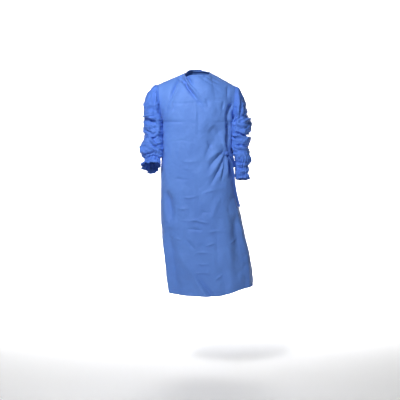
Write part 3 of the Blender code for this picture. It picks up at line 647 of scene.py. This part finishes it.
def grid_normals(grid, outward, around=False):
    """Unit normals of a grid; around joins its first column to its last."""
    up = np.gradient(grid, axis=0)
    if around:
        along = (np.roll(grid, -1, axis=1) - np.roll(grid, 1, axis=1)) / 2
    else:
        along = np.gradient(grid, axis=1)
    return unit(np.cross(along, up) * outward)


def fold_curve(fold):
    """Points along a fold, a smooth curve through its three, and its directions there."""
    t = np.linspace(0.0, 1.0, FOLD_POINTS)[:, None]
    start = np.array([fold.x0, fold.z0])
    middle = np.array([fold.x1, fold.z1])
    end = np.array([fold.x2, fold.z2])
    control = 2 * middle - (start + end) / 2
    points = (1 - t) ** 2 * start + 2 * t * (1 - t) * control + t ** 2 * end
    return points, unit(np.gradient(points, axis=0))


def fold_rise(flat, placed):
    """How far each point is moved out by placed folds; flat holds its place across and down."""
    rise = np.zeros(flat.shape[:-1])
    for fold in placed:
        points, ways = fold_curve(fold)
        reach = FOLD_REACH * max(fold.left, fold.right)
        low = points.min(axis=0) - reach
        high = points.max(axis=0) + reach
        near = np.all((flat > low) & (flat < high), axis=-1)
        if not near.any():
            continue
        spot = flat[near]
        gaps = np.linalg.norm(spot[:, None, :] - points, axis=-1)
        nearest = gaps.argmin(axis=-1)
        offset = spot - points[nearest]
        way = ways[nearest]
        side = way[:, 0] * offset[:, 1] - way[:, 1] * offset[:, 0]
        along = np.sum(way * offset, axis=-1)
        past_end = ((nearest == 0) & (along < 0)) | ((nearest == len(points) - 1) & (along > 0))
        distance = np.where(past_end, gaps.min(axis=-1), np.abs(side))
        width = np.where(side > 0, fold.right, fold.left)
        t = nearest / (len(points) - 1)
        head = fold.head + (1 - fold.head) * soft_step(t / HEAD_SHARE)
        tail = fold.tail + (1 - fold.tail) * soft_step((1.0 - t) / TAIL_SHARE)
        share = distance / width
        soft = np.exp(-share ** 2)
        sharp = np.exp(-SHARPNESS * (np.sqrt(share ** 2 + CREST ** 2) - CREST))
        rise[near] += fold.rise * head * tail * (soft + (sharp - soft) * fold.crisp)
    return rise


def edge_mask(seam, sewn):
    """1 inside a panel, 0 at its seams, so that folds leave the seams in place."""
    mask = np.ones(seam.shape)
    steps = np.arange(seam.shape[1]) * CELL / SEAM_FADE
    if "first" in sewn:
        mask *= soft_step(steps)
    if "last" in sewn:
        mask *= soft_step(steps[::-1])
    from_top = np.arange(len(seam))[::-1] * CELL / SHOULDER_FADE
    mask[:, seam[-1]] *= soft_step(from_top)[:, None]
    mask[seam] = 0.0
    return mask


def panel_surface(shares_at, facing, panel_folds, sewn):
    """Middle surface of a body panel and its normals; sewn names its joined side edges."""
    grid, seam = body_grid(shares_at, facing)
    normals = grid_normals(grid, 1.0 if facing < 0 else -1.0)
    normals[seam, 1] = 0.0
    normals = unit(normals)
    rise = fold_rise(grid[:, :, (0, 2)], panel_folds)
    for height, size, squeeze, seed in BODY_SWELLS:
        rise += height * noise_at(grid * squeeze, size, seed=seed * facing)
    for height, size, squeeze, seed in BODY_PUFFS:
        rise += height * puffs(grid, squeeze, size, seed=seed * facing)
    grid = grid + normals * (rise * edge_mask(seam, sewn))[:, :, None]
    return grid, normals


def free_edge(z, name):
    """Share of the way round the back where a flap ends at height z."""
    return smooth_curve(z, column(FREE_EDGES, "z"), column(FREE_EDGES, name))


def swung_out(grid, by, from_share, t):
    """The cloth near the wearer's left edge of a panel, t across it, swung out to the hem."""
    below = soft_step((LOOSE_BELOW - grid[:, :, 2]) / (LOOSE_BELOW - HEM))
    grid[:, :, 0] += by * below * soft_step((t - from_share) / (1.0 - from_share))
    return grid


def across_panel(width):
    """Shares of a panel's width, about a cell apart."""
    return np.linspace(0.0, 1.0, int(width / CELL) + 1)


def front_surface():
    """The front panel."""
    t = across_panel(FRONT_WIDTH)
    grid, normals = panel_surface(lambda z: t, -1, FRONT_FOLDS, ("first", "last"))
    return swung_out(grid, SIDE_FLARE, FRONT_FLARE_START, t), normals


def inner_back_surface():
    """The wearer's left back flap: from its free edge to the left side seam."""
    t = across_panel(INNER_WIDTH)
    shares = lambda z: (1.0 - free_edge(z, "inner")) * (1.0 - t) + t
    grid, normals = panel_surface(shares, 1, BACK_FOLDS, ("last",))
    return swung_out(grid, SIDE_FLARE, FLARE_START, t), normals


def outer_back_surface():
    """The wearer's right back flap, wrapped over the other, its loose edge flaring."""
    _, _, corner, _ = top_edge(1)
    t = across_panel(OUTER_WIDTH)
    shares = lambda z: free_edge(z, "outer") * t
    grid, normals = panel_surface(shares, 1, BACK_FOLDS + FLAP_FOLDS, ("first",))
    from_top = np.arange(len(grid))[::-1] * CELL
    lapped = soft_step((t - FLAP_LAP_START) / (FLAP_LAP_END - FLAP_LAP_START))
    near_seam = soft_step(1.0 - from_top / LAP_SEAM_FADE)
    past_corner = soft_step((t - corner / NECK_LAP) / LAP_CORNER_FADE)
    lift = lapped * (1.0 - near_seam[:, None] * (1.0 - past_corner))
    grid = grid + normals * (LAYER_GAP * lift)[:, :, None]
    return swung_out(grid, FLARE, FLARE_START, t), normals


def grid_quads(grid, normals, around=False):
    """Faces of a grid of points, turned to its normals."""
    rows, columns = grid.shape[:2]
    spans = columns if around else columns - 1
    row = np.arange(rows - 1)[:, None]
    col = np.arange(spans)[None, :]
    after = (col + 1) % columns
    quads = np.stack([row * columns + col, row * columns + after, (row + 1) * columns + after,
                      (row + 1) * columns + col], axis=-1).reshape(-1, 4)
    facing = np.cross(grid[0, 1] - grid[0, 0], grid[1, 0] - grid[0, 0])
    return quads[:, ::-1] if np.dot(facing, normals[0, 0]) < 0 else quads


# ---- sleeves --------------------------------------------------------------------------------

def armhole_point(turn, sign):
    """Armhole edge at an angle round it: 0 is the shoulder tip, 90 degrees the front."""
    level = (1 + np.cos(turn)) / 2
    facing = -1 if np.sin(turn) > 0 else 1
    share = np.array([0.0 if sign < 0 else 1.0])
    return yoke_point(level, share, facing)[0]


def ring_surface(table, turns):
    """Plain tube through a sleeve's rings, a row of points for each of its even steps, and the
    height of each row's middle."""
    knots = np.arange(len(table), dtype=float)
    spans = sum(np.hypot(np.diff(column(table, edge + "_x")), np.diff(column(table, edge + "_z")))
                for edge in ("outer", "inner"))
    length = run_length(spans)
    steps = np.interp(np.linspace(0.0, length[-1], SLEEVE_ROWS), length, knots)
    ring = Ring(*(smooth_curve(steps, knots, column(table, name))[:, None]
                  for name in Ring._fields))
    cos, sin = np.cos(turns), np.sin(turns)
    tilt = np.radians(ring.tilt)
    x = (ring.inner_x + ring.outer_x) / 2 + (ring.outer_x - ring.inner_x) / 2 * cos
    y = ring.middle_y - ring.half_depth * sin * np.cos(tilt)
    z = (ring.inner_z + ring.outer_z) / 2 + (ring.outer_z - ring.inner_z) / 2 * cos
    half = len(turns) // 2
    level = (z[:, :1] + z[:, half:half + 1]) / 2
    return np.stack([x, y, z + ring.half_depth * sin * np.sin(tilt)], axis=-1), level


def body_tree(surfaces):
    """A search tree over the body's cloth, its faces turned outward."""
    points, faces = [], []
    for grid, normals in surfaces:
        faces += (grid_quads(grid, normals) + len(points)).tolist()
        points += grid.reshape(-1, 3).tolist()
    return BVHTree.FromPolygons(points, faces)


def rested(grid, tree, free):
    """A sleeve's points moved out of the body beside it; free is how far each may move."""
    for row, col in zip(*np.nonzero(free > 0.01)):
        point = Vector(grid[row, col])
        spot, normal, _, _ = tree.find_nearest(point, REST_REACH)
        if spot is None:
            continue
        inside = REST_GAP - (point - spot).dot(normal)
        if inside > 0:
            grid[row, col] += np.array(normal) * inside * free[row, col]
    return grid


def hugging(side, level, from_seam, turns):
    """How far a sleeve's front half swings in over the body beside it."""
    inward = np.clip(-np.cos(turns) * np.sin(turns) * 2.0 + 0.35 * np.sin(turns), 0.0, 1.0)
    above_end = soft_step((level - HUG_ENDS[side]) / HUG_END_FADE)
    return HUG[side] * inward * soft_step((from_seam - HUG_START) / HUG_GROWTH) * above_end


def crumpled(grid, sign):
    """Height of a sleeve's puffs and bunched tucks."""
    drift = [noise_at(grid, DRIFT_SIZE, seed=seed + sign) for seed in DRIFT_SEEDS]
    moved = grid + DRIFT * np.stack(drift, axis=-1)
    bunched = soft_step((BUNCH_TOP - grid[:, :, 2]) / BUNCH_GROWTH)
    across = puffs(moved, (0.34, 0.34, 1.0), PUFF_SIZE, seed=2.0 + sign)
    along = puffs(moved, (1.0, 1.0, 0.30), PUFF_SIZE, seed=17.0 + sign)
    small = puffs(moved, (0.6, 0.6, 1.0), SMALL_SIZE, seed=29.0 + sign)
    tucks = (TUCKS * across + SMALL_PUFFS * small) * (0.40 + 0.60 * bunched)
    return tucks + LONG_PUFFS * along * (1.0 - 0.7 * bunched)


def pleated(gather, level, turns, wobble):
    """Height of the pleats that fan out from the gathered wrist, and of the frill's waves."""
    below = np.clip((gather.z - level) / gather.below, 0.0, 1.0)
    above = np.clip((level - gather.z) / gather.above, 0.0, 1.0)
    strength = np.where(level > gather.z, (1.0 - above) ** 1.5, 1.0 - 0.5 * below)
    pleats = np.cos(gather.pleats * turns + 2.2 * wobble) * (1.0 + 0.6 * wobble)
    waves = np.cos(gather.pleats * FRILL_WAVES * turns + 3.0 * wobble)
    return gather.depth * strength * pleats + gather.frill * below ** 1.5 * waves


def sleeve_surface(side, tree):
    """Middle surface of a sleeve, from the armhole to the open frill, and its normals."""
    sign = -1.0 if side == "right" else 1.0
    turns = np.arange(SLEEVE_COLUMNS) * 2 * np.pi / SLEEVE_COLUMNS
    grid, level = ring_surface(SLEEVE_RINGS[side], turns)
    from_seam = np.arange(SLEEVE_ROWS)[:, None] * SLEEVE_CELL
    grid[:, :, 0] -= hugging(side, level, from_seam, turns)
    grid = grid * (sign, 1.0, 1.0)
    edge = np.array([armhole_point(turn, sign) for turn in turns])
    grid += (edge - grid[0]) * soft_step(1.0 - from_seam / ARMHOLE_BLEND)[:, :, None]
    normals = grid_normals(grid, -sign, around=True)

    rise = np.zeros(grid.shape[:2])
    for half, facing in (("front", 1.0), ("back", -1.0)):
        shown = soft_step(facing * np.sin(turns) * 2.0 + 0.25)
        rise += fold_rise(grid[:, :, (0, 2)], SLEEVE_FOLDS[side, half]) * shown
    rise += SWELL * noise_at(grid, SWELL_SIZE, seed=11.0 + sign)
    rise += crumpled(grid, sign)
    wobble = WOBBLE * noise_at(grid, WOBBLE_SIZE, seed=23.0 + sign)
    rise += pleated(GATHERS[side], level, turns, wobble)

    # the cloth eased into the armhole puckers, and lies flatter beside the body
    pucker = soft_step(from_seam / SEAM_WIDTH)
    pucker = pucker * soft_step(1.0 - (from_seam - SEAM_WIDTH) / PUCKER_WIDTH)
    rise += PUCKER * pucker * np.cos(PUCKERS * turns + 3.0 * wobble)
    beside = np.clip(-np.cos(turns), 0.0, 1.0) ** 2
    rise = rise * np.where(rise > 0, 1.0 - 0.9 * beside, 1.0 - 0.3 * beside)
    grid = grid + normals * (rise * soft_step(from_seam / RISE_GROWTH))[:, :, None]
    free = soft_step((from_seam - SEAM_WIDTH / 2) / SEAM_WIDTH)
    free = free * soft_step(0.5 - 1.4 * np.cos(turns))
    grid = rested(grid, tree, free * soft_step((REST_TOP - grid[:, :, 2]) / REST_TOP_FADE))
    return grid, grid_normals(grid, -sign, around=True)


# ---- meshes ---------------------------------------------------------------------------------

def mesh_object(name, points, faces, material):
    """A smooth mesh of one material, in the scene."""
    mesh = bpy.data.meshes.new(name)
    mesh.from_pydata(points, [], faces)
    mesh.shade_smooth()
    mesh.materials.append(material)
    piece = bpy.data.objects.new(name, mesh)
    bpy.context.collection.objects.link(piece)
    return piece


def cloth_object(name, grid, normals, material, around=False, thickness=CLOTH):
    """A thin shell of cloth on a grid of points."""
    quads = grid_quads(grid, normals, around)
    piece = mesh_object(name, grid.reshape(-1, 3).tolist(), quads.tolist(), material)
    solid = piece.modifiers.new("thickness", "SOLIDIFY")
    solid.thickness = thickness
    solid.offset = 0.0
    return piece


def strap_object(name, path, facing, width, curl, crush, material):
    """A flat strap along a path; facing is the outward direction of its face there."""
    count = RIBBON_STEPS * (len(path) - 1) + 1
    knots = np.arange(len(path), dtype=float)
    at = np.linspace(0.0, knots[-1], count)
    path, facing = (np.stack([smooth_curve(at, knots, run[:, axis]) for axis in range(3)], axis=-1)
                    for run in (path, facing))
    along = unit(np.gradient(path, axis=0))
    facing = unit(facing - along * np.sum(facing * along, axis=1, keepdims=True))
    across = np.cross(along, facing)
    spread = np.linspace(-1.0, 1.0, RIBBON_COLUMNS)
    half = smooth_curve(at, knots, width) / 2
    grid = path[:, None, :] + across[:, None, :] * (spread[None, :] * half[:, None])[:, :, None]
    wave = crush * noise_at(grid, 0.012, seed=31.0, octaves=2) + curl * (spread[None, :] ** 2 - 0.4)
    grid = grid + facing[:, None, :] * wave[:, :, None]
    normals = np.repeat(facing[:, None, :], RIBBON_COLUMNS, axis=1)
    return cloth_object(name, grid, normals, material, thickness=TIE_WALL)


def station_path(stations):
    """Path and facing directions of a table of strap stations."""
    path = np.array([(s.x, s.y, s.z) for s in stations])
    turn = np.radians([s.facing for s in stations])
    return path, np.stack([np.sin(turn), -np.cos(turn), np.zeros(len(stations))], axis=-1)


def build_tail(name, stations, material):
    """A tie's hanging end, folded a little along its middle."""
    path, facing = station_path(stations)
    width = np.linspace(0.78, 1.0, len(path)) ** 0.7 * TIE_WIDTH
    return strap_object(name, path, facing, width, 0.0012, 0.0011, material)


def build_flap_tie(material):
    """The outer flap's tie: from its free edge round the wearer's left side to the knot."""
    z = KNOT[1]
    back_shares = np.linspace(free_edge(z, "outer") - FLAP_TIE_START, 1.0, 5)
    front_shares = np.linspace(1.0, FLAP_TIE_END, 5)[1:]
    ring = np.concatenate((trunk_point(z, back_shares, 1), trunk_point(z, front_shares, -1)))
    outward = unit(np.cross(np.gradient(ring, axis=0), (0.0, 0.0, -1.0)))
    path = ring + outward * (LAYER_GAP + TIE_WALL)
    width = np.linspace(1.0, 0.7, len(path)) * TIE_WIDTH
    return strap_object("strap_flap_tie", path, outward, width, -0.0008, 0.0006, material)


def loop_grid(centre, ahead, loop, turns):
    """A closed band wound round an axis: an oval loop of strap, pinched and uneven."""
    axis = unit(np.array(loop.axis))
    ahead = unit(ahead - axis * np.dot(ahead, axis))
    side = np.cross(axis, ahead)
    spread = np.linspace(-1.0, 1.0, RIBBON_COLUMNS)
    radius = 1.0 + 0.10 * np.cos(3 * turns) + 0.06 * np.cos(5 * turns + 1.0)
    rim = ahead * (loop.radii[0] * radius * np.cos(turns))[:, None]
    rim = rim + side * (loop.radii[1] * radius * np.sin(turns))[:, None]
    narrow = 1.0 - 0.25 * np.cos(2 * turns)
    bow = 1.0 - 0.28 * spread ** 2
    grid = centre + loop.shift + rim[:, None, :] * bow[None, :, None]
    return grid + axis * (spread[None, :] * (narrow * loop.width / 2)[:, None])[:, :, None]


def build_knot(material):
    """The knot of the two ties: straps wound over each other, its middle just off the front."""
    x, z = KNOT
    front = trunk_point(z, np.linspace(0.5, 1.0, 101), -1)
    centre = np.array([x, np.interp(x, front[:, 0], front[:, 1]) - KNOT_LIFT, z])
    ahead = unit(np.array(KNOT_AHEAD))
    turns = np.arange(LOOP_COLUMNS) * 2 * np.pi / LOOP_COLUMNS
    parts = []
    for index, loop in enumerate(KNOT_LOOPS):
        grid = loop_grid(centre, ahead, loop, turns)
        grid = grid + 0.0008 * noise_at(grid, 0.008, seed=41.0 + index)[:, :, None] * ahead
        grid = grid.transpose(1, 0, 2)
        parts.append(cloth_object(f"strap_knot_{index}", grid, unit(grid - centre), material,
                                  around=True, thickness=TIE_WALL))
    return parts


def neck_columns(facing, shares):
    """A panel's columns that lie on the neckline; shares are those of its columns at the top."""
    _, _, right, left = top_edge(facing)
    return np.where((shares >= right - 1e-9) & (shares <= left + 1e-9))[0]


def down_the_panel(grid, normals, columns):
    """Strip of points below a neckline, from its edge down the panel as far as the binding."""
    at = np.linspace(0.0, BINDING_WIDTH, BINDING_STEPS)
    points, ways = [], []
    for col in columns:
        top = grid[::-1, col]
        length = run_length(np.linalg.norm(np.diff(top, axis=0), axis=-1))
        points.append(points_at(at, length, top))
        ways.append(points_at(at, length, normals[::-1, col]))
    return np.stack(points, axis=1), unit(np.stack(ways, axis=1))


def build_binding(surfaces, material):
    """Folded band over the neckline: down the outside, over the edge and down the inside."""
    strips = [down_the_panel(grid, normals, columns) for (grid, normals), columns in surfaces]
    points, ways = (np.concatenate(parts, axis=1) for parts in zip(*strips))
    gaps = np.linalg.norm(np.diff(points[0], axis=0), axis=-1)
    keep = np.concatenate(([True], gaps > 1e-4))
    points, ways = points[:, keep], ways[:, keep]
    for _ in range(BAND_SMOOTHING):
        ways[:, 1:-1] = unit((ways[:, :-2] + 2 * ways[:, 1:-1] + ways[:, 2:]) / 4)
    puff = BAND_LIFT * (1.0 + 0.35 * np.sin(np.linspace(0.0, np.pi, BINDING_STEPS)))[:, None, None]
    outside = points + ways * puff
    inside = points[:-2] - ways[:-2] * BAND_LIFT
    crest = points[:1] + (0.0, 0.0, BAND_LIFT * 0.9)
    band = np.concatenate((outside[::-1], crest, inside))
    uneven = 0.0005 * noise_at(band, 0.009, seed=51.0)
    normals = grid_normals(band, 1.0)
    if np.mean(np.sum(normals[:BINDING_STEPS] * ways[::-1], axis=-1)) < 0:
        normals = -normals
    band = band + normals * uneven[:, :, None]
    piece = cloth_object("band_neck_binding", band, normals, material, thickness=TIE_WALL)
    return piece, outside, ways


def build_stitches(outside, ways, material):
    """Row of short stitches along the binding's lower edge, on the outside."""
    row = outside[BINDING_STEPS - 2]
    up = ways[BINDING_STEPS - 2]
    length = run_length(np.linalg.norm(np.diff(row, axis=0), axis=1))
    shares, heights = np.array(STITCH_ARCH).T
    turns = np.arange(STITCH_SIDES) * 2 * np.pi / STITCH_SIDES
    points, faces = [], []
    for start in np.arange(0.002, length[-1] - 0.003, STITCH_PITCH):
        at = start + STITCH_RUN * shares
        lift = unit(points_at(at, length, up))
        middle = points_at(at, length, row) + lift * (TIE_WALL / 2 + heights)[:, None]
        side = unit(np.cross(np.gradient(middle, axis=0), lift))
        base = len(points)
        for spot, out, across in zip(middle, lift, side):
            for turn in turns:
                way = out * math.sin(turn) + across * math.cos(turn)
                points.append(tuple(spot + STITCH_THICK / 2 * way))
        ends = len(points) - STITCH_SIDES
        for ring in range(base, ends, STITCH_SIDES):
            for corner in range(STITCH_SIDES):
                a, b = ring + corner, ring + (corner + 1) % STITCH_SIDES
                faces.append((a, b, b + STITCH_SIDES, a + STITCH_SIDES))
        faces.append(tuple(reversed(range(base, base + STITCH_SIDES))))
        faces.append(tuple(range(ends, ends + STITCH_SIDES)))
    return mesh_object("stitches_neck", points, faces, material)


# ---- materials ------------------------------------------------------------------------------

def set_inputs(node, values):
    """Values for a node's inputs, by name."""
    for name, value in values.items():
        node.inputs[name].default_value = value


def new_material(name):
    """A material and its shader."""
    material = bpy.data.materials.new(name)
    material.use_nodes = True
    return material, material.node_tree.nodes["Principled BSDF"]


def plain(name, colour, roughness):
    """A material of one colour."""
    material, shader = new_material(name)
    set_inputs(shader, {"Base Color": (*colour, 1.0), "Roughness": roughness})
    return material


def fabric(name, colour, deep):
    """Blue spunbonded cloth: soft mottling in its colour, fine fibres in the bump."""
    material, shader = new_material(name)
    nodes, links = material.node_tree.nodes, material.node_tree.links
    set_inputs(shader, {"Roughness": ROUGHNESS, "Sheen Weight": 0.06, "Sheen Roughness": 0.5,
                        "Specular IOR Level": 0.40})
    where = nodes.new("ShaderNodeTexCoord")
    cloud = nodes.new("ShaderNodeTexNoise")
    set_inputs(cloud, {"Scale": 9.0, "Detail": 5.0})
    fibre = nodes.new("ShaderNodeTexNoise")
    set_inputs(fibre, {"Scale": 900.0, "Detail": 4.0})
    ramp = nodes.new("ShaderNodeMapRange")
    set_inputs(ramp, {"From Min": 0.30, "From Max": 0.62})
    mix = nodes.new("ShaderNodeMix")
    mix.data_type = "RGBA"
    set_inputs(mix, {"A": (*deep, 1.0), "B": (*colour, 1.0)})
    bump = nodes.new("ShaderNodeBump")
    set_inputs(bump, {"Strength": 0.25, "Distance": 0.0004})
    for start, output, end, entry in (
            (where, "Object", cloud, "Vector"), (where, "Object", fibre, "Vector"),
            (cloud, "Fac", ramp, "Value"), (ramp, "Result", mix, "Factor"),
            (mix, "Result", shader, "Base Color"), (fibre, "Fac", bump, "Height"),
            (bump, "Normal", shader, "Normal")):
        links.new(start.outputs[output], end.inputs[entry])
    return material


# ---- stage ----------------------------------------------------------------------------------

def aimed(name, data, at, aim):
    """A camera or a lamp in the scene, turned to what it looks at."""
    holder = bpy.data.objects.new(name, data)
    holder.location = at
    holder.rotation_euler = (Vector(aim) - Vector(at)).to_track_quat("-Z", "Y").to_euler()
    bpy.context.collection.objects.link(holder)
    return holder


def area_light(lamp):
    """A round lamp."""
    light = bpy.data.lights.new(lamp.name, "AREA")
    light.shape = "DISK"
    light.size = lamp.size
    light.energy = lamp.watts
    light.spread = np.radians(lamp.spread)
    aimed(lamp.name, light, lamp.at, lamp.aim)


def build_stage():
    """Camera, even light, lamps and a pale floor that bends up behind."""
    scene = bpy.context.scene
    camera = aimed("camera", bpy.data.cameras.new("camera"), CAMERA, LOOKS_AT)
    camera.data.lens = LENS
    camera.data.sensor_width = 36.0
    scene.camera = camera
    scene.view_settings.view_transform = "Standard"
    world = bpy.data.worlds.new("studio")
    scene.world = world
    world.use_nodes = True
    sky = world.node_tree.nodes["Background"]
    set_inputs(sky, {"Color": (1.0, 1.0, 1.0, 1.0), "Strength": SKY})
    profile = [(FLOOR_NEAR, FLOOR_Z)]
    for step in range(BEND_STEPS + 1):
        turn = step / BEND_STEPS * math.pi / 2
        profile.append((FLOOR_FAR + FLOOR_BEND * math.sin(turn),
                        FLOOR_Z + FLOOR_BEND * (1 - math.cos(turn))))
    profile.append((FLOOR_FAR + FLOOR_BEND, FLOOR_Z + FLOOR_WALL))
    points = [(x, y, z) for y, z in profile for x in (-FLOOR_SIDE, FLOOR_SIDE)]
    faces = [(2 * i, 2 * i + 1, 2 * i + 3, 2 * i + 2) for i in range(len(profile) - 1)]
    floor = mesh_object("floor", points, faces, plain("paper", PAPER, 0.9))
    for lamp in LAMPS:
        area_light(lamp)


# ---- the gown -------------------------------------------------------------------------------

def place(piece, node):
    """Let a piece ride on the gown and stand for its solid."""
    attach(piece, "root")
    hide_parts(node)


def main():
    """The stage, then the panels, sleeves, binding and ties."""
    build_stage()
    body = fabric("body cloth", BODY_BLUE, BODY_DEEP)
    # the sleeves' material carries painted shade: the body's cloth made darker
    shaded_sleeve_cloth = fabric("shaded sleeve cloth", SLEEVE_SHADED_BLUE, SLEEVE_SHADED_DEEP)
    band = fabric("binding", BAND_BLUE, BAND_DEEP)
    # the ties' material carries painted shade: the body's cloth made darker
    strap = fabric("ties", TIE_SHADED_BLUE, TIE_SHADED_DEEP)

    front = front_surface()
    inner = inner_back_surface()
    outer = outer_back_surface()
    panels = {"front_panel": front, "back_panel_left": inner, "back_panel_right": outer}
    for name, surface in panels.items():
        place(cloth_object("cloth_" + name, *surface, body), name)
    tree = body_tree(panels.values())
    for side in ("right", "left"):
        name = "sleeve_" + side
        surface = sleeve_surface(side, tree)
        piece = cloth_object("cloth_" + name, *surface, shaded_sleeve_cloth, around=True)
        place(piece, name)

    at_top = [np.linspace(0.0, 1.0, surface[0].shape[1]) for surface in (inner, front, outer)]
    piece, outside, ways = build_binding((
        (inner, neck_columns(1, 1.0 - NECK_LAP + NECK_LAP * at_top[0])),
        (front, neck_columns(-1, at_top[1])[::-1]),
        (outer, neck_columns(1, NECK_LAP * at_top[2])),
    ), band)
    place(piece, "neck_binding")
    thread = build_stitches(outside, ways, plain("thread", THREAD, 0.6))
    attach(thread, "root")

    for name, stations in (("tie_front", TAIL), ("tie_short_tail", SHORT_TAIL)):
        place(build_tail("strap_" + name, stations, strap), name)
    place(build_flap_tie(strap), "tie_flap")
    for piece in build_knot(strap):
        place(piece, "tie_knot")


main()
